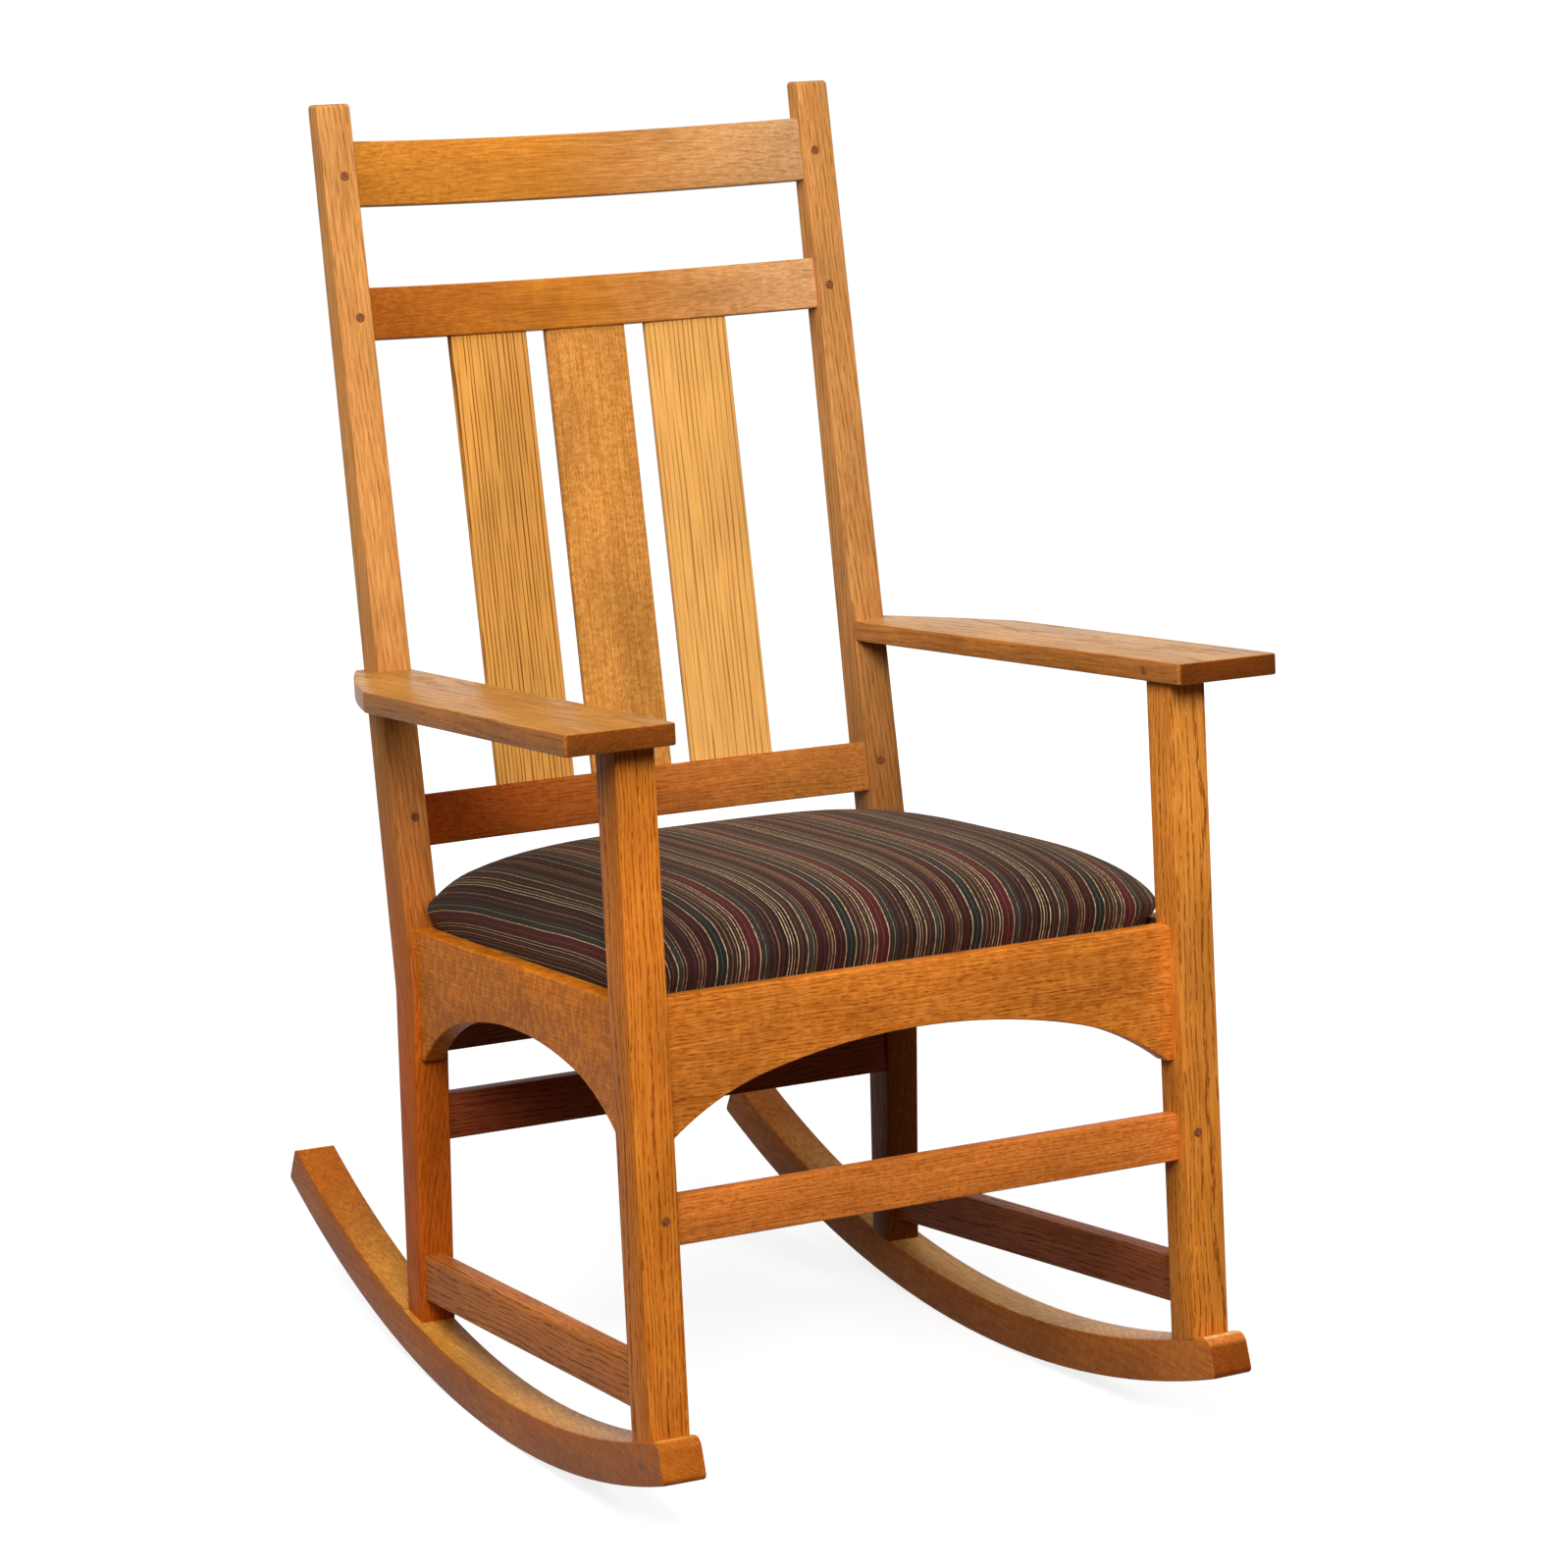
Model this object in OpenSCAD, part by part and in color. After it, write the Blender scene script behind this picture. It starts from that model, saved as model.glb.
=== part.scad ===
// Mission rocking chair in quartersawn oak: tapered, kneed rear posts, a bowed back with three
// flat slats, arched seat rails, notched arms, a drop-in upholstered seat and two arc rockers.
// Every size is worked out with the chair level: X towards the sitter's left, Y backwards, Z up,
// Y = 0 on the front posts' front faces and Z = 0 at the rockers' lowest point. The whole chair
// is then leaned back about its rockers to the pose in which it balances and rests.

/* [Overall] */
// Width over the front posts
front_w = 546; // [500:1:600]
// Width over the rear posts
rear_w = 502; // [470:1:530]
// Front face of the front posts to the knee of the rear posts
seat_depth = 456; // [430:1:490]
// Height of the rear posts' tops
back_h = 1121; // [1060:1:1180]
// Height of the arms' top faces
arm_h = 636; // [600:1:670]
// Angle of lean at which the chair rests
rest_tilt = 5.9; // [4:0.1:7]

/* [Posts] */
// Front post, across the chair
front_post_w = 35; // [32:0.5:42]
// Front post, front to back
front_post_d = 35.5; // [32:0.5:42]
// Rear post, across the chair
rear_post_w = 31.5; // [28:0.5:38]
// Depth of the rear post at its top
rear_top_d = 19; // [17:0.5:26]
// Depth of the rear post at its knee
rear_knee_d = 39; // [35:0.5:46]
// Depth of the rear post at its foot
rear_foot_d = 30; // [26:0.5:36]
// Tops of the seat rails down to the knee of the rear posts
knee_drop = 55; // [40:1:70]
// Angle of the rear post above the knee, leaning back
lean = 7.1; // [4:0.1:9]
// Angle of the rear post below the knee, kicking back
kick = 4.4; // [2:0.1:6]
// Pillowed top of the rear post
post_crown = 4; // [2:0.5:6]

/* [Back] */
// Thickness of the bowed back rails
rail_t = 14; // [12:0.5:15]
// Front face of the back rails behind the rear posts' front faces, at their ends
rail_set = 4.5; // [3:0.5:5]
// Bow of the back rails at the middle
rail_bow = 28; // [15:1:35]
// Top of the rear posts down to the crest rail
crest_drop = 32; // [25:1:40]
// Height of the crest rail
crest_h = 56; // [48:1:64]
// Top of the rear posts down to the upper back rail, as a share of their length above the knee
upper_drop_share = 0.2064; // [0.19:0.0001:0.23]
// Height of the upper back rail
upper_h = 45; // [38:1:55]
// Knee up the rear posts to the lower back rail, as a share of their length above the knee
lower_rise_share = 0.1634; // [0.15:0.0001:0.19]
// Height of the lower back rail
lower_h = 44.5; // [38:0.5:55]
// Width of a back slat
slat_w = 78; // [60:1:84]
// Gap between back slats
slat_gap = 19; // [12:1:30]
// Thickness of a back slat
slat_t = 8; // [7:0.5:9]

/* [Seat frame] */
// Height of the seat rails' top edges
seat_h = 414; // [405:1:425]
// Height of the front and side rails, from edge to edge
apron_w = 114; // [104:1:124]
// Height of the rear rail, from edge to edge
rear_apron_w = 109.5; // [99.5:0.5:119.5]
// Thickness of the seat rails
seat_rail_t = 19; // [16:0.5:19]
// Front rail's face behind the front posts' faces
front_rail_set = 14; // [10:0.5:15]
// Side rails' faces inside the posts' outer faces
side_rail_set = 4.5; // [3:0.5:6]
// Rear rail's face behind the knee
rear_rail_set = 4; // [2:0.5:8]
// Rise of the front arch
front_arch_rise = 60.5; // [50:0.5:68]
// Plain ends of the front rail beside its arch
front_arch_end = 6; // [3:0.5:12]
// Radius of the front arch towards its ends
front_haunch_r = 239; // [190:1:300]
// Rise of the side arches
side_arch_rise = 59; // [50:0.5:66]
// Plain ends of the side rails beside their arches
side_arch_end = 3; // [2:0.5:8]
// Radius of the side arches towards their ends
side_haunch_r = 193; // [160:1:240]
// Angle to which an arch keeps the flat curve of its crown
arch_crown_a = 13.7; // [8:0.1:16]

/* [Stretchers] */
// Height of all stretchers
stretcher_h = 40; // [34:1:46]
// Thickness of the rear and side stretchers
stretcher_t = 19; // [15:0.5:20]
// Thickness of the front stretcher
front_stretcher_t = 16; // [14:0.5:19]
// Tops of the seat rails down to the front stretcher
front_stretcher_drop = 159; // [144:1:174]
// Front stretcher's face behind the front posts' faces
front_stretcher_set = 12.5; // [8:0.5:14]
// Tops of the seat rails down to the rear stretcher
rear_stretcher_drop = 149; // [139:1:169]
// Rear stretcher's face behind the knee
rear_stretcher_set = 13; // [11:0.5:15]
// Height of the side stretchers' top edges
side_stretcher_h = 124.5; // [120:0.5:140]
// Side stretchers' faces inside the posts' outer faces
side_stretcher_set = 2.5; // [2:0.5:5]

/* [Arms] */
// Thickness of the arms
arm_t = 18; // [16:0.5:22]
// Arms' reach in front of the front posts
arm_reach = 26; // [15:1:35]
// Arms' reach outside the front posts
arm_flare = 55; // [40:1:70]
// Arms' reach inside the front posts at their front ends
arm_inset = 7; // [2:0.5:12]
// How far the arms' outer edges draw in on their way back
arm_taper = 8; // [0:1:15]
// Arm tail outside the rear post, at the post's back
arm_tail = 8; // [5:0.5:15]
// Length over which the arm's outer edge curves in to its tail
arm_tail_l = 154; // [110:1:180]
// Rise of that curve above its chord
arm_tail_bulge = 3.5; // [2:0.5:12]

/* [Rockers] */
// Radius of the rockers' lower edge
rocker_r = 1043; // [950:1:1150]
// Height of a rocker's section
rocker_t = 36; // [32:0.5:42]
// Width of a rocker
rocker_w = 37.5; // [36:0.5:44]
// Front face of the front posts back to the middle of the rockers' arc
rocker_mid = 241.5; // [230:0.5:255]
// Angle of the rockers' arc ahead of its middle
rocker_front_a = 15; // [14.6:0.1:17]
// Angle of the rockers' arc behind its middle
rocker_rear_a = 30.4; // [26:0.1:33]
// Rounded corners at the rockers' ends
rocker_end_r = 5; // [3:0.5:8]
// Rounded upper corner at a rocker's front end
rocker_nose_r = 11; // [4:0.5:14]

/* [Seat cushion] */
// Height of the padded seat above the rails, at its corners
pad_corner_h = 26; // [15:1:40]
// How much higher than that the rear corners are, and how much lower the front ones
pad_rear_rise = 5.5; // [0:0.5:8]
// Further rise from the corners to the middle
pad_crown = 48.5; // [30:0.5:65]
// Rounded front corners of the padded seat
pad_front_r = 40; // [39:1:50]
// Rounded rear corners of the padded seat
pad_rear_r = 8; // [5:1:24]
// Width over which the padded edge rolls down to the rails
pad_roll = 29; // [28:1:60]
// Swell of the padded edge over the rails
pad_swell = 16; // [4:1:16]
// Draw of that swell between the corners
pad_draw = 4; // [0:0.5:8]
// Thickness of the woven cover
cover_t = 1.5; // [1:0.1:2.5]
// Thickness of the plywood seat board
board_t = 12; // [9:0.5:15]
// Seat board's top below the rails' top edges
board_drop = 4; // [2:0.5:8]

/* [Joinery] */
// Eased edges of the oak
edge_r = 1.8; // [1:0.1:2.4]
// Eased edges of the sawn arches
arch_edge_r = 1.6; // [1:0.1:2.4]
// Thickness of the seat and stretcher tenons
tenon_t = 8; // [6:0.5:9]
// Length of the tenons
tenon_l = 17; // [12:0.5:18]
// Shoulder above and below a tenon
shoulder = 6; // [4:0.5:8]
// Room round a tenon in its mortise
joint_gap = 0.15; // [0.1:0.05:0.3]
// Diameter of the pegs
peg_d = 8; // [6:0.5:9]
// Room round a peg in its bore
peg_gap = 0.05; // [0.03:0.01:0.1]
// Pegs standing proud of the wood
peg_proud = 0.4; // [0:0.1:1]

/* [Hidden] */

// Colours as the photographed oak and cloth show them
oak_golden = "#C07A2C";
oak_amber = "#B26A26";
oak_brown = "#9A5620";
oak_pale = "#CC8A3C";
peg_brown = "#6B3312";
block_brown = "#C69A63";
board_brown = "#C9A574";
foam_white = "#E8E0CC";
cloth_dark = "#46303A";
screw_grey = "#A9A9A5";

// Round stretches: small bores and pegs, large arcs, steps in an eased edge
bore_fn = 48;
arc_fn = 720;
ease_steps = 3;
// One overrun for all cuts
over = 6;
// A span longer than any piece, for cutting planes
far = 2 * back_h;

// Posts in plan
front_x = front_w / 2;
front_in = front_x - front_post_w;
rear_x = rear_w / 2;
rear_in = rear_x - rear_post_w;
foot_h = 3 * rocker_t / 2;

// Heights that follow the seat
knee_h = seat_h - knee_drop;
apron_h = seat_h - apron_w;
rear_apron_h = seat_h - rear_apron_w;
front_stretcher_h = seat_h - front_stretcher_drop;
rear_stretcher_h = seat_h - rear_stretcher_drop;

// Rear post in side view: front and back faces at a height
function post_front(z) = seat_depth + (z > knee_h ? (z - knee_h) * tan(lean) : (knee_h - z) * tan(kick));
function post_depth(z) = z > knee_h
    ? rear_knee_d + (rear_top_d - rear_knee_d) * (z - knee_h) / (back_h - knee_h)
    : rear_knee_d + (rear_foot_d - rear_knee_d) * (knee_h - z) / (knee_h - foot_h);
function post_back(z) = post_front(z) + post_depth(z);

// Back rails: rows of drop from the post's top, height and the share of it down to the peg
post_u = (back_h - knee_h) / cos(lean);
upper_drop = post_u * upper_drop_share;
lower_drop = post_u * (1 - lower_rise_share) - lower_h;
peg_shares = [0.54, 0.57, 0.41];
crest_row = [crest_drop, crest_h, peg_shares[0]];
upper_row = [upper_drop, upper_h, peg_shares[1]];
lower_row = [lower_drop, lower_h, peg_shares[2]];
stretcher_peg_share = 0.61;
bow_r = (rear_in * rear_in + rail_bow * rail_bow) / (2 * rail_bow);
bow_y = rail_set + rail_bow - bow_r;
bow_a = asin(rear_in / bow_r) + asin(over / bow_r);
slat_pitch = slat_w + slat_gap;
slat_shoulder = 4;
slat_cheek = 1;
slat_tenon_l = 12;
back_tenon_t = rail_t / 2;
peg_in = 12;

// Side rails in plan: the line that they follow between the posts
side_run = seat_depth - front_post_d;
side_splay = atan2(front_x - rear_x, side_run);
side_l = side_run / cos(side_splay);

// Arches: angle by which the haunches lap under the crown, and its extra depth there
arch_lap = 2;
arch_step = 0.08;

// Tenons that meet inside a post are kept a wall apart
tenon_wall = 1.5;
rail_mid = seat_rail_t / 2;
front_rail_tenon_l = min(tenon_l, front_post_w - side_rail_set - rail_mid - tenon_t / 2
    - tenon_l * sin(side_splay) - tenon_wall);
rear_rail_tenon_l = min(tenon_l, rear_post_w - side_rail_set - rail_mid - tenon_t / 2
    - tenon_wall - (rear_rail_set + seat_rail_t) * sin(side_splay));

// Rockers: their inner faces run flush with the posts' inner faces
foot_y = (post_front(foot_h) + post_back(foot_h)) / 2;
front_foot_y = front_post_d / 2;
rocker_splay = atan2(front_in - rear_in, foot_y - front_foot_y);
rocker_x = front_in - (rocker_mid - front_foot_y) * tan(rocker_splay);
rocker_top_r = rocker_r - rocker_t;
front_foot_a = asin((front_foot_y - rocker_mid) / cos(rocker_splay) / rocker_top_r);
rear_foot_a = asin((foot_y - rocker_mid) / cos(rocker_splay) / rocker_top_r);
seat_sink = 0.5;
foot_tenon_l = 2 * rocker_t / 3;
foot_tenon_t = front_post_w / 3;
foot_tenon_w = 2 * rear_foot_d / 3;

// Arms
arm_bottom = arm_h - arm_t;
arm_tenon_l = 3 * arm_t / 4;
arm_tenon_w = front_post_w / 2;
arm_tenon_d = 24;
arm_tenon_y = 20;
arm_peg_y = 25;
arm_peg_l = front_post_w;
arm_stub_l = 10;
arm_corner_r = 4;
tail_y = post_back(arm_h);

// Inner edge of an arm at a depth
function arm_inner(y) = rear_in + (front_in - arm_inset - rear_in)
    * (post_front(arm_h) - y) / (post_front(arm_h) + arm_reach);

// Seat: room inside the rails, cushion outline and corner blocks
seat_gap = 1;
seat_front = front_rail_set + seat_rail_t;
seat_back = seat_depth;
board_h = seat_h - board_drop;
board_low = board_h - board_t;
board_slack = 0.3;
bed_gap = 0.05;
crown_power = 4;
crown_shares = [0.8, 0.55, 0.28];
pad_steps = 6;
corner_steps = 4;
side_steps = 6;
block_leg = 58;
block_h = 36;
block_nip = 8;
screw_r = 2;
screw_gap = 0.05;
screw_head_r = 4;
screw_head_h = 2.5;
screw_bite = 12;
screw_sink = 8;

// Where the leaned chair stands: the rockers' lowest line on Z = 0, its box centred on Y = 0
function tip(a, side) = let (r = rocker_r - rocker_end_r, s = sign(a) * rocker_end_r)
    [rocker_mid + (r * sin(a) - s * cos(a)) * cos(rocker_splay) + side * rocker_w * sin(rocker_splay),
     rocker_r - r * cos(a) - s * sin(a)];
function leaned(p) = p[0] * cos(rest_tilt) + p[1] * sin(rest_tilt);
row_back = leaned(tip(rocker_rear_a, 1)) + rocker_end_r;
row_front = leaned(tip(-rocker_front_a, 0)) - rocker_end_r;
row_y = -(row_back + row_front) / 2;
row_z = rocker_r + (rocker_mid + (rocker_w - edge_r) * sin(rocker_splay)) * sin(rest_tilt)
    - rocker_r * cos(rest_tilt);

// General helpers

// Points of a rectangle from the origin to [w, h] with eased corners
function eased(w, h, r = edge_r) = [
    for (c = [[w - r, h - r, 0], [r, h - r, 90], [r, r, 180], [w - r, r, 270]], i = [0 : ease_steps])
        [c[0] + r * cos(c[2] + 90 * i / ease_steps), c[1] + r * sin(c[2] + 90 * i / ease_steps)]];

// A bar along X, Y or Z with eased long edges, between low and high corners
module bar_x(lo, hi) {
    translate(lo)
        rotate([90, 0, 90])
            linear_extrude(hi[0] - lo[0]) polygon(eased(hi[1] - lo[1], hi[2] - lo[2]));
}

module bar_y(lo, hi) {
    translate([lo[0], hi[1], lo[2]])
        rotate([90, 0, 0])
            linear_extrude(hi[1] - lo[1]) polygon(eased(hi[0] - lo[0], hi[2] - lo[2]));
}

module bar_z(lo, hi) {
    translate(lo) linear_extrude(hi[2] - lo[2]) polygon(eased(hi[0] - lo[0], hi[1] - lo[1]));
}

// A sharp block between low and high corners, grown all round to make a mortise
module block(lo, hi, grow = 0) {
    g = [grow, grow, grow];
    translate(lo - g) cube(hi - lo + 2 * g);
}

// A closed loft through rings that hold the same number of points, between two end points. The
// first few bands can be split along their other diagonals, to match a form that they lie on.
module loft(rings, first, last, turned = 0) {
    n = len(rings[0]);
    m = len(rings);
    polyhedron(
        points = concat([first, last], [for (ring = rings) each ring]),
        faces = [for (i = [0 : n - 1]) let (j = (i + 1) % n) each concat(
            [[0, 2 + i, 2 + j]],
            [for (k = [0 : m - 2]) let (p = 2 + k * n, q = p + n) each k < turned
                ? [[p + i, q + i, p + j], [q + i, q + j, p + j]]
                : [[p + i, q + i, q + j], [p + i, q + j, p + j]]],
            [[1, 2 + (m - 1) * n + j, 2 + (m - 1) * n + i]])],
        convexity = 4);
}

// The whole chair at rest
module at_rest() {
    translate([0, row_y, row_z]) rotate([-rest_tilt, 0, 0]) children();
}

module on_side(side) {
    if (side > 0) children();
    else mirror([1, 0, 0]) children();
}

// Frames of reference

// Along the rear posts' leaning front faces: Z up the post, Y square to it
module back_frame() {
    translate([0, seat_depth, knee_h]) rotate([-lean, 0, 0]) children();
}

// Along a side rail: Y along it from the front post, X = 0 on the line of its outer face
module side_frame(inset) {
    translate([front_x - inset, front_post_d, 0]) rotate([0, 0, side_splay]) children();
}

// At the centre of a rocker's arc: Y along the rocker, X = 0 on its inner face
module rocker_frame() {
    translate([rocker_x, rocker_mid, rocker_r]) rotate([0, 0, rocker_splay]) children();
}

// Everything below the flat seat that a post's foot stands on
module below_seat(a) {
    rocker_frame()
        rotate([a, 0, 0])
            translate([-far / 2, -far / 2, -rocker_top_r - seat_sink - far]) cube(far);
}

// Outline of the rear post in side view, from height to height, across the given width
module rear_post_blank(x0, x1, grow = 0) {
    heights = [0, knee_h, back_h];
    translate([x0, 0, 0])
        rotate([90, 0, 90])
            linear_extrude(x1 - x0)
                polygon(concat(
                    [for (z = heights) [post_front(z) - grow, z]],
                    [for (i = [2 : -1 : 0]) [post_back(heights[i]) + grow, heights[i]]]));
}

// Everything behind the rear posts' front faces
module behind_post_front() {
    translate([-far / 2, 0, 0])
        rotate([90, 0, 90])
            linear_extrude(far)
                polygon([[post_front(0), 0], [seat_depth, knee_h], [post_front(back_h), back_h],
                    [far, back_h], [far, 0]]);
}

// Tenons, which also cut their own mortises when they are grown

module rail_tenon(row, grow = 0) {
    top = post_u - row[0] - shoulder;
    mid = rail_set + rail_t / 2;
    back_frame()
        block([rear_in - over, mid - back_tenon_t / 2, top - row[1] + 2 * shoulder],
            [rear_in + tenon_l, mid + back_tenon_t / 2, top], grow);
}

module front_rail_tenon(grow = 0) {
    mid = front_rail_set + rail_mid;
    block([front_in - over, mid - tenon_t / 2, apron_h + shoulder],
        [front_in + front_rail_tenon_l, mid + tenon_t / 2, seat_h - shoulder], grow);
}

module rear_rail_tenon(grow = 0) {
    mid = seat_depth + rear_rail_set + rail_mid;
    block([rear_in - over, mid - tenon_t / 2, rear_apron_h + shoulder],
        [rear_in + rear_rail_tenon_l, mid + tenon_t / 2, seat_h - shoulder], grow);
}

module side_rail_tenons(grow = 0) {
    side_frame(side_rail_set)
        for (y = [[-tenon_l, over], [side_l - over, side_l + tenon_l]])
            block([-rail_mid - tenon_t / 2, y[0], apron_h + shoulder],
                [-rail_mid + tenon_t / 2, y[1], seat_h - shoulder], grow);
}

module front_stretcher_tenon(grow = 0) {
    mid = front_stretcher_set + front_stretcher_t / 2;
    block([front_in - over, mid - tenon_t / 2, front_stretcher_h - stretcher_h + shoulder],
        [front_in + tenon_l, mid + tenon_t / 2, front_stretcher_h - shoulder], grow);
}

module rear_stretcher_tenon(grow = 0) {
    mid = seat_depth + rear_stretcher_set + stretcher_t / 2;
    block([rear_in - over, mid - tenon_t / 2, rear_stretcher_h - stretcher_h + shoulder],
        [rear_in + tenon_l, mid + tenon_t / 2, rear_stretcher_h - shoulder], grow);
}

module side_stretcher_tenons(grow = 0) {
    mid = side_stretcher_h - stretcher_h / 2;
    end = side_l + (post_front(mid) - seat_depth);
    side_frame(side_stretcher_set)
        for (y = [[-tenon_l, over], [end - over, end + tenon_l]])
            block([-stretcher_t / 2 - tenon_t / 2, y[0], side_stretcher_h - stretcher_h + shoulder],
                [-stretcher_t / 2 + tenon_t / 2, y[1], side_stretcher_h - shoulder], grow);
}

module arm_tenon(grow = 0) {
    mid = front_x - front_post_w / 2;
    block([mid - arm_tenon_w / 2, arm_tenon_y - arm_tenon_d / 2, arm_bottom - over],
        [mid + arm_tenon_w / 2, arm_tenon_y + arm_tenon_d / 2, arm_bottom + arm_tenon_l], grow);
}

module arm_stub(grow = 0) {
    mid = rear_x - rear_post_w / 2;
    y = post_front(arm_bottom);
    block([mid - tenon_t, y - over, arm_bottom + arm_t / 4],
        [mid + tenon_t, y + arm_stub_l, arm_h - arm_t / 4], grow);
}

module foot_tenon(rear, grow = 0) {
    x = rear ? rear_x - rear_post_w / 2 : front_x - front_post_w / 2;
    y = rear ? foot_y : front_foot_y;
    z = rocker_r - rocker_top_r * cos(rear ? rear_foot_a : front_foot_a);
    translate([x, y, z])
        rotate([rear ? kick : 0, 0, 0])
            block([-foot_tenon_t / 2, -foot_tenon_w / 2, -foot_tenon_l],
                [foot_tenon_t / 2, foot_tenon_w / 2, over], grow);
}

// Pegs, which also cut their own bores

module peg(l, grow = 0) {
    r = peg_d / 2;
    if (grow > 0) translate([0, 0, -over]) cylinder(h = l + over, r = r + grow, $fn = bore_fn);
    else translate([0, 0, -peg_proud]) {
        cylinder(h = peg_proud, r1 = r - peg_proud, r2 = r, $fn = bore_fn);
        translate([0, 0, peg_proud]) cylinder(h = l, r = r, $fn = bore_fn);
    }
}

module rail_peg(row, grow = 0) {
    back_frame()
        translate([rear_in + peg_in, 0, post_u - row[0] - row[1] * row[2]])
            rotate([-90, 0, 0]) peg(rail_set + rail_t - edge_r, grow);
}

module stretcher_peg(grow = 0) {
    translate([front_in + peg_in, 0, front_stretcher_h - stretcher_h * (1 - stretcher_peg_share)])
        rotate([-90, 0, 0]) peg(front_stretcher_set + front_stretcher_t - edge_r, grow);
}

module arm_peg(grow = 0) {
    translate([arm_inner(arm_peg_y), arm_peg_y, arm_h - arm_t / 2])
        rotate([0, 90, 0]) peg(arm_peg_l, grow);
}

module rocker_peg(grow = 0) {
    rocker_frame()
        rotate([front_foot_a, 0, 0])
            translate([rocker_w, 0, -rocker_r + rocker_t / 2])
                rotate([0, -90, 0]) peg(rocker_w - over, grow);
}

// Posts

module front_post(side) {
    color(oak_golden) at_rest() on_side(side) difference() {
        union() {
            difference() {
                bar_z([front_in, 0, 0], [front_x, front_post_d, arm_bottom]);
                below_seat(front_foot_a);
            }
            arm_tenon();
            foot_tenon(false);
        }
        front_rail_tenon(joint_gap);
        side_rail_tenons(joint_gap);
        front_stretcher_tenon(joint_gap);
        side_stretcher_tenons(joint_gap);
        stretcher_peg(peg_gap);
        arm_peg(peg_gap);
        rocker_peg(peg_gap);
    }
}

// One level ring of the rear post, drawn in by an inset
function post_ring(z, inset = 0) = [
    for (p = eased(rear_post_w - 2 * inset, post_depth(z) - 2 * inset))
        [rear_in + inset + p[0], post_front(z) + inset + p[1], z]];

module rear_post(side) {
    crown_steps = 3;
    mid_x = rear_in + rear_post_w / 2;
    color(oak_golden) at_rest() on_side(side) difference() {
        union() {
            difference() {
                loft(concat([post_ring(0), post_ring(knee_h)],
                        [for (i = [0 : crown_steps]) let (a = 90 * i / crown_steps)
                            post_ring(back_h - post_crown * (1 - sin(a)),
                                (post_crown - edge_r) * (1 - cos(a)))]),
                    [mid_x, post_front(0) + post_depth(0) / 2, 0],
                    [mid_x, post_front(back_h) + rear_top_d / 2, back_h]);
                below_seat(rear_foot_a);
            }
            foot_tenon(true);
        }
        for (row = [crest_row, upper_row, lower_row]) {
            rail_tenon(row, joint_gap);
            rail_peg(row, peg_gap);
        }
        side_rail_tenons(joint_gap);
        rear_rail_tenon(joint_gap);
        side_stretcher_tenons(joint_gap);
        rear_stretcher_tenon(joint_gap);
        arm_stub(joint_gap);
    }
}

// Back

module bow_frame() {
    back_frame() translate([0, bow_y, 0]) children();
}

// The tenons of the slats, which enter the upper and lower rails
module slat_tenons(i, grow = 0) {
    a = asin(i * slat_pitch / bow_r);
    y = bow_r + rail_t / 2;
    low = post_u - lower_drop;
    high = post_u - upper_drop - upper_h;
    bow_frame()
        rotate([0, 0, -a])
            for (z = [[low - slat_tenon_l, low + over], [high - over, high + slat_tenon_l]])
                block([-slat_w / 2 + slat_shoulder, y - slat_t / 2 + slat_cheek, z[0]],
                    [slat_w / 2 - slat_shoulder, y + slat_t / 2 - slat_cheek, z[1]], grow);
}

// A bowed rail: an arc of eased section between the posts, with straight tenons
module back_rail(row) {
    difference() {
        union() {
            intersection() {
                bow_frame()
                    translate([0, 0, post_u - row[0] - row[1]])
                        rotate([0, 0, 90 - bow_a])
                            rotate_extrude(angle = 2 * bow_a, $fn = arc_fn)
                                translate([bow_r, 0]) polygon(eased(rail_t, row[1]));
                translate([-rear_in, 0, 0]) cube([2 * rear_in, far, far]);
            }
            for (side = [1, -1]) on_side(side) rail_tenon(row);
        }
        for (side = [1, -1]) on_side(side) rail_peg(row, peg_gap);
    }
}

module crest_rail() {
    color(oak_golden) at_rest() back_rail(crest_row);
}

module upper_back_rail() {
    color(oak_amber) at_rest() difference() {
        back_rail(upper_row);
        for (i = [-1 : 1]) slat_tenons(i, joint_gap);
    }
}

module lower_back_rail() {
    color(oak_brown) at_rest() difference() {
        back_rail(lower_row);
        for (i = [-1 : 1]) slat_tenons(i, joint_gap);
    }
}

module back_slat(i) {
    a = asin(i * slat_pitch / bow_r);
    y = bow_r + (rail_t - slat_t) / 2;
    color(i == 0 ? oak_amber : oak_pale) at_rest() {
        bow_frame()
            rotate([0, 0, -a])
                bar_z([-slat_w / 2, y, post_u - lower_drop],
                    [slat_w / 2, y + slat_t, post_u - upper_drop - upper_h]);
        slat_tenons(i);
    }
}

// Seat frame

// A three-centred arch cut through a rail, easing its own edges: a flat crown between two
// haunches of radius r. It is drawn for a rail of thickness t whose face is on Y = 0, with its
// chord, 2 * half long, on Z = 0. The haunches lap under the crown, which is cut a hair deeper.
module arch_cut(half, rise, r, t) {
    a = arch_crown_a;
    p = pow(sin(a), 2) + pow(1 - cos(a), 2);
    q = half * sin(a) + (rise - r) * (1 - cos(a));
    d = (q - sqrt(q * q - p * (half * half + (rise - r) * (rise - r) - r * r))) / p;
    translate([0, 0, rise - r - d])
        rotate([-90, 0, 0]) {
            rotate([0, 0, -90 - a]) arch_disc(r + d + arch_step, t, 2 * a);
            for (side = [1, -1])
                rotate([0, 0, side * a - 90])
                    translate([d, 0])
                        rotate(side > 0 ? -arch_lap : arch_lap - 90) arch_disc(r, t, 90);
        }
}

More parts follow.
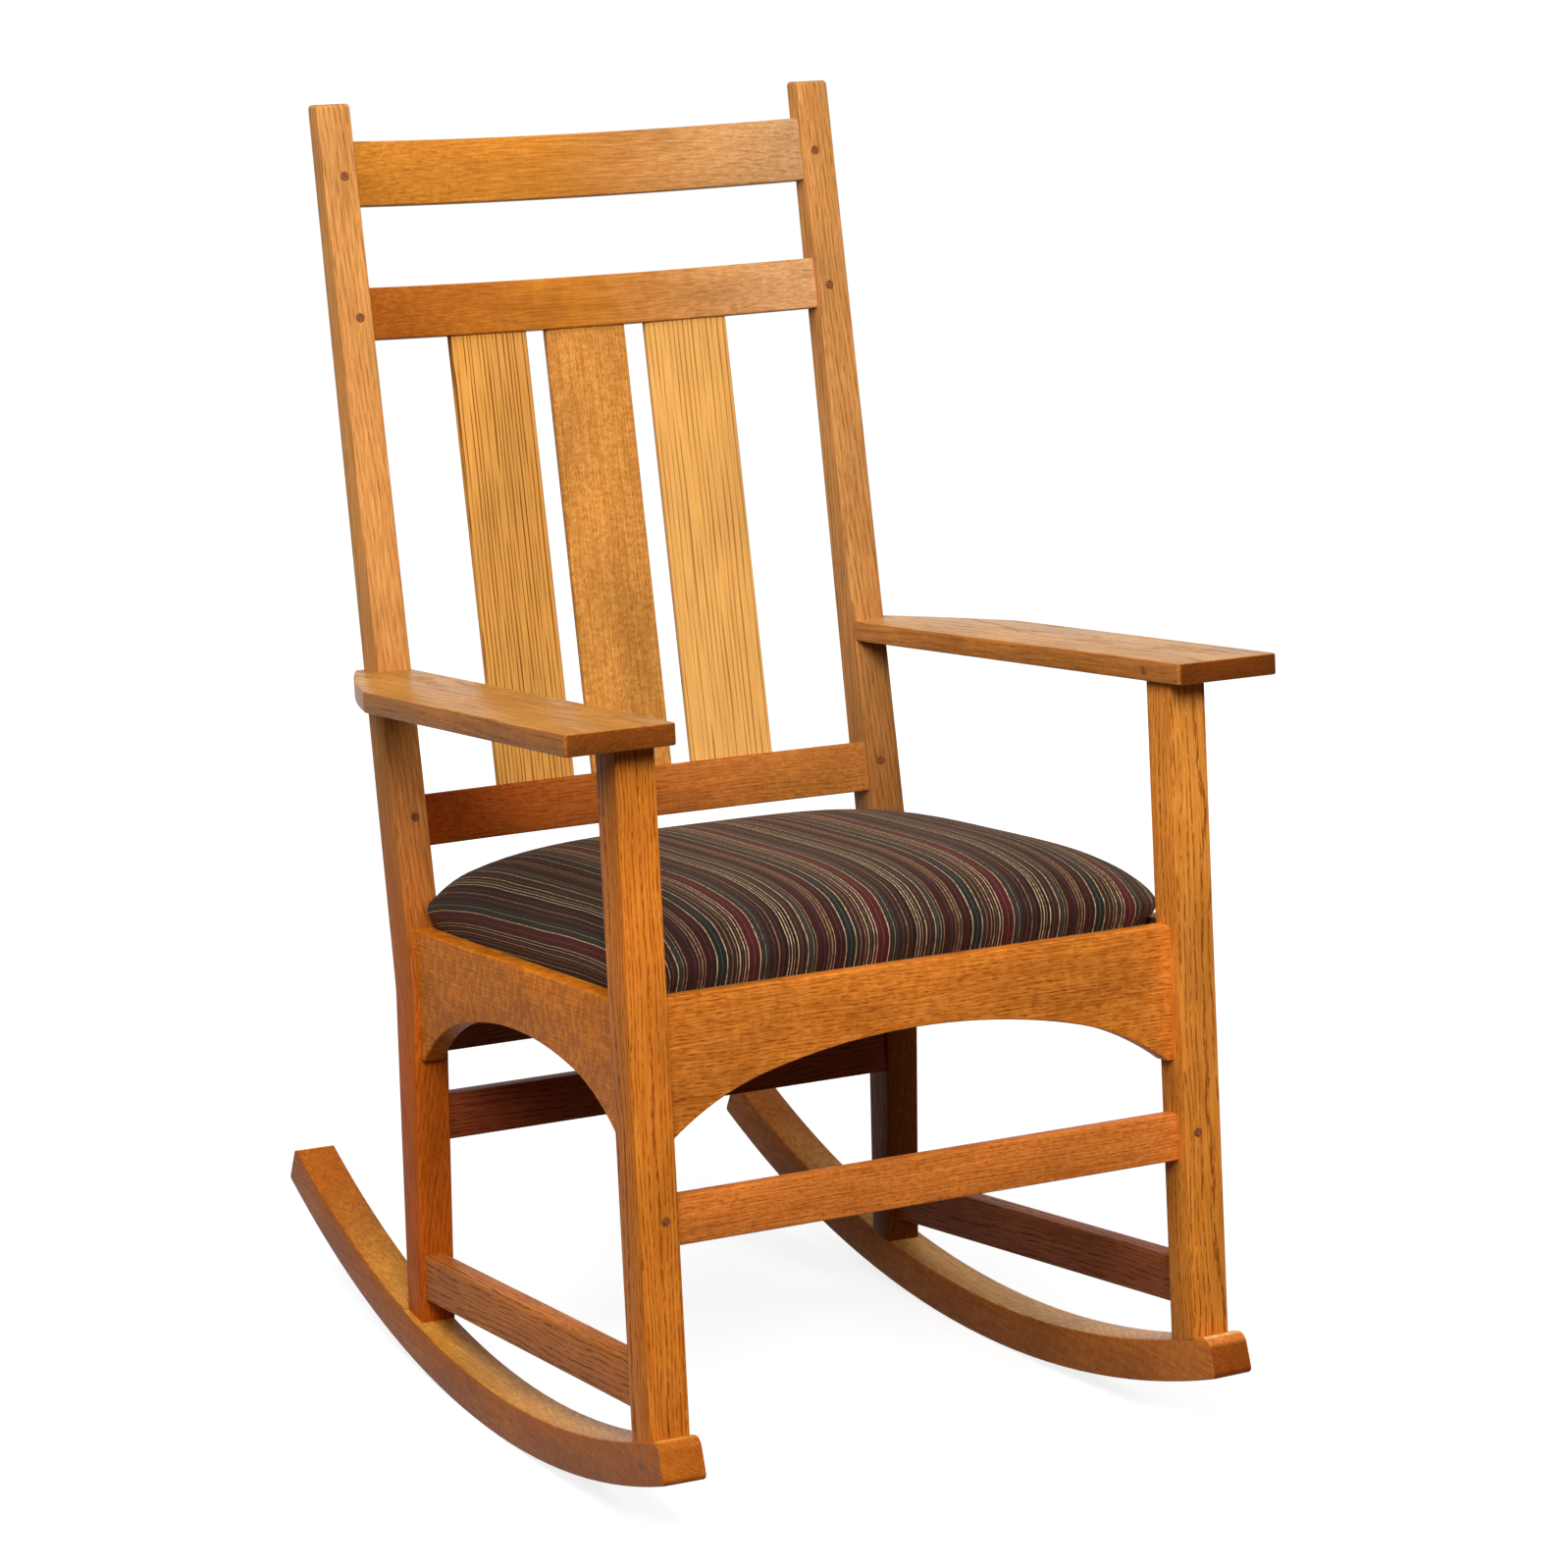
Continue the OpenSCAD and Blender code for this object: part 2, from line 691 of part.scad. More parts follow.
// One sector of that cut, flared where it leaves the rail's faces
module arch_disc(r, t, span) {
    flare = [for (i = [1 : ease_steps]) let (a = 90 * i / ease_steps) arch_edge_r * [1 - sin(a), 1 - cos(a)]];
    mouth = 2 * [arch_edge_r, 0] - flare[0];
    cut = concat([mouth], flare);
    rotate_extrude(angle = span, $fn = arc_fn)
        polygon(concat(
            [[0, t + over], [0, -over], [r + mouth[0], -over]],
            [for (f = cut) [r + f[0], f[1]]],
            [for (i = [ease_steps : -1 : 0]) [r + cut[i][0], t - cut[i][1]]],
            [[r + mouth[0], t + over]]));
}

module front_seat_rail() {
    color(oak_golden) at_rest() difference() {
        union() {
            bar_x([-front_in, front_rail_set, apron_h], [front_in, front_rail_set + seat_rail_t, seat_h]);
            for (side = [1, -1]) on_side(side) front_rail_tenon();
        }
        translate([0, front_rail_set, apron_h])
            arch_cut(front_in - front_arch_end, front_arch_rise, front_haunch_r, seat_rail_t);
        corner_block_bores(front = true, into_rail = true);
    }
}

module side_seat_rail(side) {
    color(oak_amber) at_rest() on_side(side) difference() {
        union() {
            difference() {
                side_frame(side_rail_set)
                    bar_y([-seat_rail_t, -over, apron_h], [0, side_l + 2 * over, seat_h]);
                translate([-far / 2, front_post_d - far, 0]) cube(far);
                behind_post_front();
            }
            side_rail_tenons();
        }
        side_frame(side_rail_set)
            translate([0, side_l / 2, apron_h])
                rotate([0, 0, 90])
                    arch_cut(side_l / 2 - side_arch_end, side_arch_rise, side_haunch_r, seat_rail_t);
        corner_block_bores(into_rail = true, across = true);
    }
}

module rear_seat_rail() {
    y = seat_depth + rear_rail_set;
    color(oak_brown) at_rest() difference() {
        union() {
            bar_x([-rear_in, y, rear_apron_h], [rear_in, y + seat_rail_t, seat_h]);
            for (side = [1, -1]) on_side(side) rear_rail_tenon();
        }
        corner_block_bores(front = false, into_rail = true);
    }
}

// Stretchers

module front_stretcher() {
    low = front_stretcher_h - stretcher_h;
    color(oak_golden) at_rest() difference() {
        union() {
            bar_x([-front_in, front_stretcher_set, low],
                [front_in, front_stretcher_set + front_stretcher_t, front_stretcher_h]);
            for (side = [1, -1]) on_side(side) front_stretcher_tenon();
        }
        for (side = [1, -1]) on_side(side) stretcher_peg(peg_gap);
    }
}

module side_stretcher(side) {
    color(oak_brown) at_rest() on_side(side) {
        difference() {
            side_frame(side_stretcher_set)
                bar_y([-stretcher_t, -over, side_stretcher_h - stretcher_h],
                    [0, side_l + rear_knee_d, side_stretcher_h]);
            translate([-far / 2, front_post_d - far, 0]) cube(far);
            behind_post_front();
        }
        side_stretcher_tenons();
    }
}

module rear_stretcher() {
    y = seat_depth + rear_stretcher_set;
    color(oak_brown) at_rest() {
        bar_x([-rear_in, y, rear_stretcher_h - stretcher_h], [rear_in, y + stretcher_t, rear_stretcher_h]);
        for (side = [1, -1]) on_side(side) rear_stretcher_tenon();
    }
}

// Arms

// Outline in plan: straight inner edge, outer edge that curves in to a tail outside the post
module arm_outline() {
    outer = front_x + arm_flare;
    bend = [outer - arm_taper, tail_y - arm_tail_l];
    tail = [rear_x + arm_tail, tail_y];
    steps = 8;
    polygon(concat(
        [[rear_in, tail_y], [rear_in, post_front(arm_h)],
            [arm_inner(-arm_reach), -arm_reach], [outer, -arm_reach]],
        [for (i = [0 : steps]) let (s = i / steps)
            bend + (tail - bend) * s
                + [arm_tail_bulge, arm_tail_bulge / 2] * 4 * s * (1 - s)]));
}

module arm_board() {
    hull() {
        for (i = [0 : ease_steps]) {
            inset = edge_r * (1 - cos(90 * i / ease_steps));
            cut = edge_r * (1 - sin(90 * i / ease_steps));
            translate([0, 0, arm_bottom + cut])
                linear_extrude(arm_t - 2 * cut)
                    offset(r = arm_corner_r - inset, $fn = bore_fn)
                        offset(delta = -arm_corner_r) arm_outline();
        }
    }
}

module arm(side) {
    color(oak_pale) at_rest() on_side(side) difference() {
        union() {
            difference() {
                arm_board();
                rear_post_blank(0, rear_x);
            }
            arm_stub();
        }
        arm_tenon(joint_gap);
        arm_peg(peg_gap);
    }
}

// Rockers

// Side view of a rocker, about the centre of its arc: the span between its end cuts
module rocker_outline() {
    in_r = rocker_r - rocker_t;
    difference() {
        circle(rocker_r, $fn = arc_fn);
        circle(in_r, $fn = arc_fn);
        for (end = [[rocker_rear_a, 1, rocker_end_r], [-rocker_front_a, -1, rocker_nose_r]])
            rotate(end[0] - 90)
                for (c = [[in_r, 1, end[2]], [rocker_r, -1, rocker_end_r]])
                    translate([c[0], 0]) end_corner(c[2], c[1], end[1]);
    }
}

// What rounds one corner off a rocker's end
module end_corner(r, up, out) {
    difference() {
        translate([up > 0 ? -over : -r, out > 0 ? -r : -over]) square([r + over, r + over]);
        translate([up * r, -out * r]) circle(r, $fn = bore_fn);
    }
}

module rocker(side) {
    span = rocker_front_a + rocker_rear_a;
    color(oak_brown) at_rest() on_side(side) difference() {
        intersection() {
            rocker_frame()
                rotate([0, 90, 0])
                    rotate([0, 0, -rocker_front_a])
                        rotate_extrude(angle = span, $fn = arc_fn)
                            translate([rocker_r - rocker_t, 0]) polygon(eased(rocker_t, rocker_w));
            rocker_frame()
                translate([-over, 0, 0])
                    rotate([90, 0, 90])
                        linear_extrude(rocker_w + 2 * over) rocker_outline();
        }
        difference() {
            block([0, 0, 0], [front_x + rocker_w, front_post_d, arm_bottom], joint_gap);
            below_seat(front_foot_a);
        }
        difference() {
            rear_post_blank(0, rear_x + rocker_w, joint_gap);
            below_seat(rear_foot_a);
        }
        foot_tenon(false, joint_gap);
        foot_tenon(true, joint_gap);
        rocker_peg(peg_gap);
    }
}

// Drop-in seat

// Half width inside the side rails at a depth
function seat_half(y) = front_x - side_rail_set - seat_rail_t / cos(side_splay)
    - (y - front_post_d) * tan(side_splay);

// Outline of the padded seat, drawn in by an inset: round corners and sides of a few steps
function pad_outline(inset) = let (
        g = seat_gap + inset,
        y0 = seat_front + g,
        y1 = seat_back - g,
        rear = pad_rear_r,
        front = pad_front_r,
        corners = [[1, y1 - rear, 0, rear], [-1, y1 - rear, 90, rear],
            [-1, y0 + front, 180, front], [1, y0 + front, 270, front]])
    [for (k = [0 : 3]) let (
            p = corners[k],
            q = corners[(k + 1) % 4],
            start = [p[0] * (seat_half(p[1]) - g - p[3]), p[1]],
            stop = [q[0] * (seat_half(q[1]) - g - q[3]), q[1]],
            last = start + p[3] * [cos(p[2] + 90), sin(p[2] + 90)],
            next = stop + q[3] * [cos(q[2]), sin(q[2])])
        each concat(
            [for (i = [0 : corner_steps]) let (a = p[2] + 90 * i / corner_steps)
                start + p[3] * [cos(a), sin(a)]],
            [for (i = [1 : side_steps - 1]) last + (next - last) * i / side_steps])];

pad_mid = [0, (seat_front + seat_back) / 2];
pad_half = (seat_back - seat_front) / 2;

// Height of the padded top above the rails over a point, before its edge rolls down
function pad_top(p) = let (
        u = min(1, abs(p[0]) / seat_half(p[1])),
        v = min(1, abs(p[1] - pad_mid[1]) / pad_half))
    pad_corner_h + pad_rear_rise * (p[1] - pad_mid[1]) / pad_half
        + pad_crown * (1 - (pow(u, crown_power) + pow(v, crown_power)) / 2);

// A ring of the padded edge, at an angle from its upright foot (0) to its level shoulder (90)
function pad_edge_ring(a, inset) = [for (p = pad_outline(inset)) let (
        w = (pad_mid - p) / norm(pad_mid - p),
        u = abs(p[0]) / seat_half(p[1]),
        v = abs(p[1] - pad_mid[1]) / pad_half,
        swell = (pad_swell - pad_draw * (1 - pow(min(u, v), 2))) * sin(2 * a),
        q = p + w * (pad_roll * (1 - cos(a)) - swell))
    [q[0], q[1], seat_h + pad_top(q) * sin(a) - inset * sin(a)]];

// A level ring, and a ring of the crown at a share of the way out to the shoulder
function pad_flat_ring(z, inset) = [for (p = pad_outline(inset)) [p[0], p[1], z]];
function pad_crown_ring(share, inset) = [for (p = pad_edge_ring(90, inset)) let (
        q = pad_mid + ([p[0], p[1]] - pad_mid) * share)
    [q[0], q[1], seat_h + pad_top(q) - inset]];

// Rings of the padded form from its flat foot up to the crown
function pad_rings(bottom, inset) = concat(
    [pad_flat_ring(bottom, inset)],
    [for (i = [0 : pad_steps]) pad_edge_ring(90 * i / pad_steps, inset)],
    [for (share = crown_shares) pad_crown_ring(share, inset)]);
function pad_peak(inset) = [pad_mid[0], pad_mid[1], seat_h + pad_top(pad_mid) - inset];
function reversed(list) = [for (i = [len(list) - 1 : -1 : 0]) list[i]];

module seat_pad() {
    inset = cover_t + board_slack;
    color(foam_white) at_rest()
        loft(pad_rings(board_h + bed_gap, inset), [pad_mid[0], pad_mid[1], board_h + bed_gap],
            pad_peak(inset));
}

module seat_cover() {
    lining = reversed(pad_rings(board_low, cover_t));
    color(cloth_dark) at_rest()
        loft(concat(lining, pad_rings(board_low, 0)), pad_peak(cover_t), pad_peak(0), len(lining) - 1);
}

module seat_board() {
    color(board_brown) at_rest() difference() {
        translate([0, 0, board_low])
            linear_extrude(board_t) polygon(pad_outline(cover_t + board_slack));
        seat_screw_bores();
    }
}

// Corner blocks: a glued and screwed block in each corner carries the seat

// Inner corner of the seat frame at a front or rear corner, on the right-hand side
function block_corner(front) = front ? [front_in, seat_front] : [rear_in, seat_depth + rear_rail_set];

module corner_block(front) {
    c = block_corner(front);
    d = front ? 1 : -1;
    nip = block_nip;
    post_y = front ? front_post_d : seat_depth;
    y1 = post_y + d * nip;
    y2 = post_y + d * block_leg;
    translate([0, 0, board_low - block_h])
        linear_extrude(block_h - bed_gap)
            polygon([[c[0] - block_leg, c[1]], [c[0] - nip, c[1]], [seat_half(y1), y1], [seat_half(y2), y2]]);
}

// Cross screws through a block into its rails, and their bores
module cross_screw(l, grow = 0) {
    translate([0, 0, -screw_sink - (grow > 0 ? block_leg : screw_head_h)])
        cylinder(h = grow > 0 ? block_leg : screw_head_h, r = screw_head_r + (grow > 0 ? joint_gap : 0),
            $fn = bore_fn);
    translate([0, 0, -screw_sink - (grow > 0 ? screw_gap : 0)])
        cylinder(h = l + screw_sink + (grow > 0 ? screw_gap : 0), r = screw_r + grow, $fn = bore_fn);
}

module block_screw(front, across, grow = 0) {
    c = block_corner(front);
    d = front ? 1 : -1;
    leg = block_leg / 3;
    z = board_low - block_h / 2;
    if (across) {
        y = (front ? front_post_d : seat_depth) + d * (block_leg - leg);
        translate([seat_half(y), y, z - block_h / 4])
            rotate([0, 90, side_splay]) cross_screw(screw_bite, grow);
    } else {
        translate([c[0] - block_leg + leg, c[1], z + block_h / 4])
            rotate([front ? 90 : -90, 0, 0]) cross_screw(screw_bite, grow);
    }
}

module corner_block_bores(front = true, into_rail = false, across = false) {
    if (across) for (f = [true, false]) block_screw(f, true, screw_gap);
    else for (side = [1, -1]) on_side(side) block_screw(front, false, screw_gap);
}

module seat_screw(front, grow = 0) {
    c = block_corner(front);
    d = front ? 1 : -1;
    low = board_low - block_h;
    translate([c[0] - block_leg / 4, c[1] + d * block_leg / 3, low + screw_sink]) {
        translate([0, 0, grow > 0 ? -screw_sink - over : -screw_head_h])
            cylinder(h = grow > 0 ? screw_sink + over : screw_head_h,
                r = screw_head_r + (grow > 0 ? joint_gap : 0), $fn = bore_fn);
        cylinder(h = block_h - screw_sink + board_t * 2 / 3 + (grow > 0 ? screw_gap : 0),
            r = screw_r + grow, $fn = bore_fn);
    }
}

module seat_screw_bores() {
    for (side = [1, -1], front = [true, false]) on_side(side) seat_screw(front, screw_gap);
}

module corner_blocks() {
    color(block_brown) at_rest() for (side = [1, -1], front = [true, false]) on_side(side) difference() {
        corner_block(front);
        block_screw(front, false, screw_gap);
        block_screw(front, true, screw_gap);
        seat_screw(front, screw_gap);
    }
}

module corner_block_screws() {
    color(screw_grey) at_rest() for (side = [1, -1], front = [true, false], across = [true, false])
        on_side(side) block_screw(front, across);
}

module seat_screws() {
    color(screw_grey) at_rest() for (side = [1, -1], front = [true, false]) on_side(side) seat_screw(front);
}

// Pegs in their groups

module back_rail_pegs() {
    color(peg_brown) at_rest() for (side = [1, -1], row = [crest_row, upper_row, lower_row])
        on_side(side) rail_peg(row);
}

module stretcher_pegs() {
    color(peg_brown) at_rest() for (side = [1, -1]) on_side(side) stretcher_peg();
}

module arm_pegs() {
    color(peg_brown) at_rest() for (side = [1, -1]) on_side(side) arm_peg();
}

module rocker_pegs() {
    color(peg_brown) at_rest() for (side = [1, -1]) on_side(side) rocker_peg();
}

front_post(1);  // front_post_left
front_post(-1);  // front_post_right
rear_post(1);  // rear_post_left
rear_post(-1);  // rear_post_right
crest_rail();
upper_back_rail();
lower_back_rail();
back_slat(1);  // back_slat_left
back_slat(0);  // back_slat_centre
back_slat(-1);  // back_slat_right
front_seat_rail();
side_seat_rail(1);  // side_seat_rail_left
side_seat_rail(-1);  // side_seat_rail_right
rear_seat_rail();
front_stretcher();
side_stretcher(1);  // side_stretcher_left
side_stretcher(-1);  // side_stretcher_right
rear_stretcher();
arm(1);  // arm_left
arm(-1);  // arm_right
rocker(1);  // rocker_left
rocker(-1);  // rocker_right
corner_blocks();
corner_block_screws();
seat_screws();
seat_board();
seat_pad();
seat_cover();
back_rail_pegs();
stretcher_pegs();
arm_pegs();
rocker_pegs();
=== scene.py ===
import math

import bmesh
import bpy
from mathutils import Matrix, Vector


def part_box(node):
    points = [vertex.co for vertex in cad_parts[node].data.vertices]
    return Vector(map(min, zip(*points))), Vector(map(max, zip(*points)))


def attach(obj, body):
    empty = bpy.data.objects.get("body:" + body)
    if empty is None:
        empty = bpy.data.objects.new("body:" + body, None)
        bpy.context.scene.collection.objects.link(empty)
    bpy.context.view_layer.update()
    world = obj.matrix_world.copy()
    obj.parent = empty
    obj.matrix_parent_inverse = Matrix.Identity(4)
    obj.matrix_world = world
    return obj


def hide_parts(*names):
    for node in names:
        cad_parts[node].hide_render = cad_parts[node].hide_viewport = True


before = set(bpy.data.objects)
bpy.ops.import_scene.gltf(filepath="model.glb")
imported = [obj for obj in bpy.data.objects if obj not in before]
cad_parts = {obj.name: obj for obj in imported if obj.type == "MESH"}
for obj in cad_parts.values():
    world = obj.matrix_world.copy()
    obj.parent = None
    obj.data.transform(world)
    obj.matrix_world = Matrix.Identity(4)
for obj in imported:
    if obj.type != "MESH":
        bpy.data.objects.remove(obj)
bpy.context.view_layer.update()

# The chair is drawn level, in millimetres, and leans back about its rockers to rest

MM = 0.001
LEAN = math.radians(5.9)
REST_SHIFT = Vector((0.0, -378.2, 30.4917))
TILT = Matrix.Rotation(-LEAN, 3, "X")


def at_rest(point):
    """A point of the level chair, in millimetres, where it lies at rest, in metres."""
    return (TILT @ Vector(point) + REST_SHIFT) * MM


def leaning(degrees):
    """The level chair's direction that leans back from upright by an angle."""
    a = math.radians(degrees)
    return Vector((0.0, math.sin(a), math.cos(a)))


# Nodes and colours

def linear(code):
    """An sRGB hex colour as linear red, green, blue and alpha."""
    parts = [int(code[i:i + 2], 16) / 255 for i in (1, 3, 5)]
    return [c / 12.92 if c <= 0.04045 else ((c + 0.055) / 1.055) ** 2.4 for c in parts] + [1.0]


def add(tree, kind, links=None, stops=(), between="LINEAR", **settings):
    """Adds a node: settings are its own values and links its inputs, each a socket or a plain value.
    A ramp's stops are each a place, a colour and if need be its cover."""
    made = tree.nodes.new(kind)
    for name, value in settings.items():
        setattr(made, name, value)
    for name, value in (links or {}).items():
        if isinstance(value, bpy.types.NodeSocket):
            tree.links.new(value, made.inputs[name])
        else:
            made.inputs[name].default_value = value
    for i, (place, tone, *cover) in enumerate(sorted(stops, key=lambda stop: stop[0])):
        made.color_ramp.interpolation = between
        if i >= len(made.color_ramp.elements):
            made.color_ramp.elements.new(1.0)
        made.color_ramp.elements[i].position = place
        made.color_ramp.elements[i].color = linear(tone)[:3] + (cover or [1.0])
    return made


def fresh(name):
    """A new material with its shader and output."""
    material = bpy.data.materials.new(name)
    material.use_nodes = True
    tree = material.node_tree
    tree.nodes.clear()
    shader = tree.nodes.new("ShaderNodeBsdfPrincipled")
    output = tree.nodes.new("ShaderNodeOutputMaterial")
    tree.links.new(shader.outputs["BSDF"], output.inputs["Surface"])
    return material, tree, shader


# Oak

# The stain's colour between pores is given for each board. These shares of its red, green and blue
# turn it into the darker fibres, the open pores, the pale rays and the paler tone of a painted sheen on
# up-facing tops.
FIBRE_SHARES = (0.74, 0.62, 0.46, 1)
PORE_SHARES = (0.34, 0.22, 0.14, 1)
RAY_SHARES = (1.28, 1.42, 1.7, 1)
# Up-facing tops of arms and rockers are painted paler by these shares: a painted sheen
PAINTED_SHEEN_SHARES = (1.4, 2.3, 3.6, 1)
# Two boards lie this far apart in the noise, so that no two are cut alike
BOARDS_APART = 3.7
# A rubbed satin lacquer: its gloss is weak
LACQUER_SHINE = 0.04


def oak_board(node, name, stain_and_painted_light, along, face, pith=(170, 12), ring=3.2, wave=14.0, pores=0.9, dash=14,
              rows=0.85, streaks=1.0, fleck=0.0, fleck_size=1.0, cloud=1.0, change=(-1.0, 1.0), end=0.45,
              painted_sheen=0.0, gloss=0.4):
    """Stained, lacquered oak sawn as one board: rings about a pith, open pores along the grain and
    rays across it. Lengths are in millimetres.
    The first colours listed run from the grain's start to its end: the stain, and on some boards painted
    shade or a painted reflection along it as well. change says over which part of the board they
    follow, in shares of half its length from its middle. along is the grain's direction and face the
    wide face's normal, in the level chair.
    pith is how far the tree's heart lies across and behind the board's middle, ring is a year's width
    and wave is how far the rings wander. dash is a pore's length and rows the share of the pores that
    lie in rows. pores, streaks, fleck and cloud say how much the pores, the fibres, the rays and the
    clouds of stain show, and the sheen share how much up-facing tops are painted paler as a painted
    sheen of the light above. end is how light the end grain is, and gloss the roughness."""
    material, tree, shader = fresh(name)
    x = (TILT @ Vector(along)).normalized()
    z = (TILT @ Vector(face)).normalized()
    y = z.cross(x).normalized()
    z = x.cross(y)
    low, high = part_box(node)
    place = add(tree, "ShaderNodeTexCoord")
    board = add(tree, "ShaderNodeMapping", {
        "Vector": place.outputs["Object"], "Location": [(p + q) / 2 for p, q in zip(low, high)],
        "Rotation": Matrix((x, y, z)).transposed().to_euler(), "Scale": (MM, MM, MM)},
        vector_type="TEXTURE")
    tree_no = BOARDS_APART * (1 + list(BOARDS).index(node))

    def grain(length, across, through, detail=2.0, rough=0.5, shift=0.0):
        """A noise whose cells are so many millimetres along, across and through the board."""
        spread = add(tree, "ShaderNodeVectorMath", {
            0: board.outputs["Vector"], 1: (1 / length, 1 / across, 1 / through),
            2: (tree_no + shift, 2 * tree_no - shift, shift - tree_no)}, operation="MULTIPLY_ADD")
        return add(tree, "ShaderNodeTexNoise", {
            "Vector": spread.outputs["Vector"], "Scale": 1.0, "Detail": detail, "Roughness": rough})

    # Yearly rings: distance from the pith, made wavy, in ring widths of some 3 mm
    wander = grain(160, 40, 40)
    drift = add(tree, "ShaderNodeVectorMath", {0: wander.outputs["Color"], 1: (0.5, 0.5, 0.5)},
                operation="SUBTRACT")
    swayed = add(tree, "ShaderNodeVectorMath", {
        0: drift.outputs["Vector"], 1: (0.0, wave, wave), 2: board.outputs["Vector"]},
        operation="MULTIPLY_ADD")
    off_heart = add(tree, "ShaderNodeVectorMath", {
        0: swayed.outputs["Vector"], 1: (0.0, 1.0, 1.0), 2: (0.0, pith[0], pith[1])},
        operation="MULTIPLY_ADD")
    radius = add(tree, "ShaderNodeVectorMath", {0: off_heart.outputs["Vector"]}, operation="LENGTH")
    years = add(tree, "ShaderNodeMath", {0: radius.outputs["Value"], 1: 1 / ring}, operation="MULTIPLY")
    uneven = add(tree, "ShaderNodeTexNoise", {"W": years.outputs["Value"], "Scale": 0.37, "Detail": 1.0},
                 noise_dimensions="1D")
    counted = add(tree, "ShaderNodeMath", {0: uneven.outputs["Fac"], 1: 0.9, 2: years.outputs["Value"]},
                  operation="MULTIPLY_ADD")
    year = add(tree, "ShaderNodeMath", {0: counted.outputs["Value"]}, operation="FRACT")
    # Pores: dark dashes, most of them in one row along the start of each ring. They are 0.3 mm wide in
    # truth and are drawn 0.9 mm wide, so that they show
    row = add(tree, "ShaderNodeMath", {0: year.outputs["Value"], 1: 0.16}, operation="SUBTRACT")
    off_row = add(tree, "ShaderNodeMath", {0: row.outputs["Value"]}, operation="ABSOLUTE")
    spring = add(tree, "ShaderNodeMapRange", {
        "Value": off_row.outputs["Value"], "From Min": 0.07, "From Max": 0.2,
        "To Min": 1.0, "To Max": 0.0}, interpolation_type="SMOOTHSTEP")
    dash_noise = grain(dash, 1.3, 1.3, 1.0)
    dashes = add(tree, "ShaderNodeMapRange", {
        "Value": dash_noise.outputs["Fac"], "From Min": 0.40, "From Max": 0.54})
    loose_noise = grain(0.8 * dash, 1.2, 1.2, 1.0, shift=7.0)
    loose = add(tree, "ShaderNodeMapRange", {
        "Value": loose_noise.outputs["Fac"], "From Min": 0.52, "From Max": 0.64, "To Max": 1.0 - rows})
    in_row = add(tree, "ShaderNodeMath", {0: dashes.outputs["Result"], 1: spring.outputs["Result"]},
                 operation="MULTIPLY")
    kept = add(tree, "ShaderNodeMath", {0: in_row.outputs["Value"], 1: rows}, operation="MULTIPLY")
    pore = add(tree, "ShaderNodeMath", {0: kept.outputs["Value"], 1: loose.outputs["Result"]},
               operation="ADD")

    # The stain, with painted shade or a painted reflection along some boards, which may change along the
    # board, and fibres: streaks of 50 mm from light to dark
    fibre = grain(52, 1.9, 1.9, 3.0, 0.65, shift=4.0)
    tinted = add(tree, "ShaderNodeMapRange", {
        "Value": fibre.outputs["Fac"], "From Min": 0.36, "From Max": 0.66, "To Max": streaks})
    half = sum(abs(c) * (q - p) / 2 for c, p, q in zip(x, low, high)) / MM
    placed = add(tree, "ShaderNodeSeparateXYZ", {"Vector": board.outputs["Vector"]})
    run = add(tree, "ShaderNodeMapRange", {
        "Value": placed.outputs["X"], "From Min": change[0] * half, "From Max": change[1] * half})
    tones = stain_and_painted_light if len(stain_and_painted_light) > 1 else stain_and_painted_light * 2
    stain_and_light_ramp = add(tree, "ShaderNodeValToRGB", {"Fac": run.outputs["Result"]}, stops=[
        (i / (len(tones) - 1), tone) for i, tone in enumerate(tones)])
    fibres = add(tree, "ShaderNodeMix", {
        0: tinted.outputs["Result"], 6: stain_and_light_ramp.outputs["Color"], 7: FIBRE_SHARES},
        data_type="RGBA", blend_type="MULTIPLY")
    colour = fibres.outputs[2]

    # Rays: pale flecks that wander across the grain where the face follows them
    if fleck:
        bent = grain(7 * fleck_size, 11 * fleck_size, 9, 1.0, shift=5.0)
        curl = add(tree, "ShaderNodeVectorMath", {
            0: bent.outputs["Color"], 1: (6.0 * fleck_size, 8.0 * fleck_size, 0.0),
            2: board.outputs["Vector"]}, operation="MULTIPLY_ADD")
        small = add(tree, "ShaderNodeVectorMath", {
            0: curl.outputs["Vector"], 1: (1 / (4.2 * fleck_size), 1 / (7.5 * fleck_size), 1 / 9),
            2: (tree_no, tree_no, tree_no)}, operation="MULTIPLY_ADD")
        rays = add(tree, "ShaderNodeTexNoise", {
            "Vector": small.outputs["Vector"], "Scale": 1.0, "Detail": 1.5, "Roughness": 0.5})
        cover = add(tree, "ShaderNodeMapRange", {
            "Value": rays.outputs["Fac"], "From Min": 0.47, "From Max": 0.56, "To Max": fleck})
        rayed = add(tree, "ShaderNodeMix", {0: cover.outputs["Result"], 6: colour, 7: RAY_SHARES},
                    data_type="RGBA", blend_type="MULTIPLY")
        colour = rayed.outputs[2]

    holes = add(tree, "ShaderNodeMath", {0: pore.outputs["Value"], 1: pores}, operation="MULTIPLY",
                use_clamp=True)
    pitted = add(tree, "ShaderNodeMix", {0: holes.outputs["Value"], 6: colour, 7: PORE_SHARES},
                 data_type="RGBA", blend_type="MULTIPLY")

    # Arms and rockers are painted paler where they look straight up: a painted sheen of the soft light
    # above them
    shape = add(tree, "ShaderNodeNewGeometry")
    heights = add(tree, "ShaderNodeSeparateXYZ", {"Vector": shape.outputs["Normal"]})
    sheen_mask = add(tree, "ShaderNodeMapRange", {
        "Value": heights.outputs["Z"], "From Min": 0.93, "From Max": 0.985, "To Max": painted_sheen})
    sheened = add(tree, "ShaderNodeMix", {
        0: sheen_mask.outputs["Result"], 6: pitted.outputs[2], 7: PAINTED_SHEEN_SHARES},
        data_type="RGBA", blend_type="MULTIPLY")

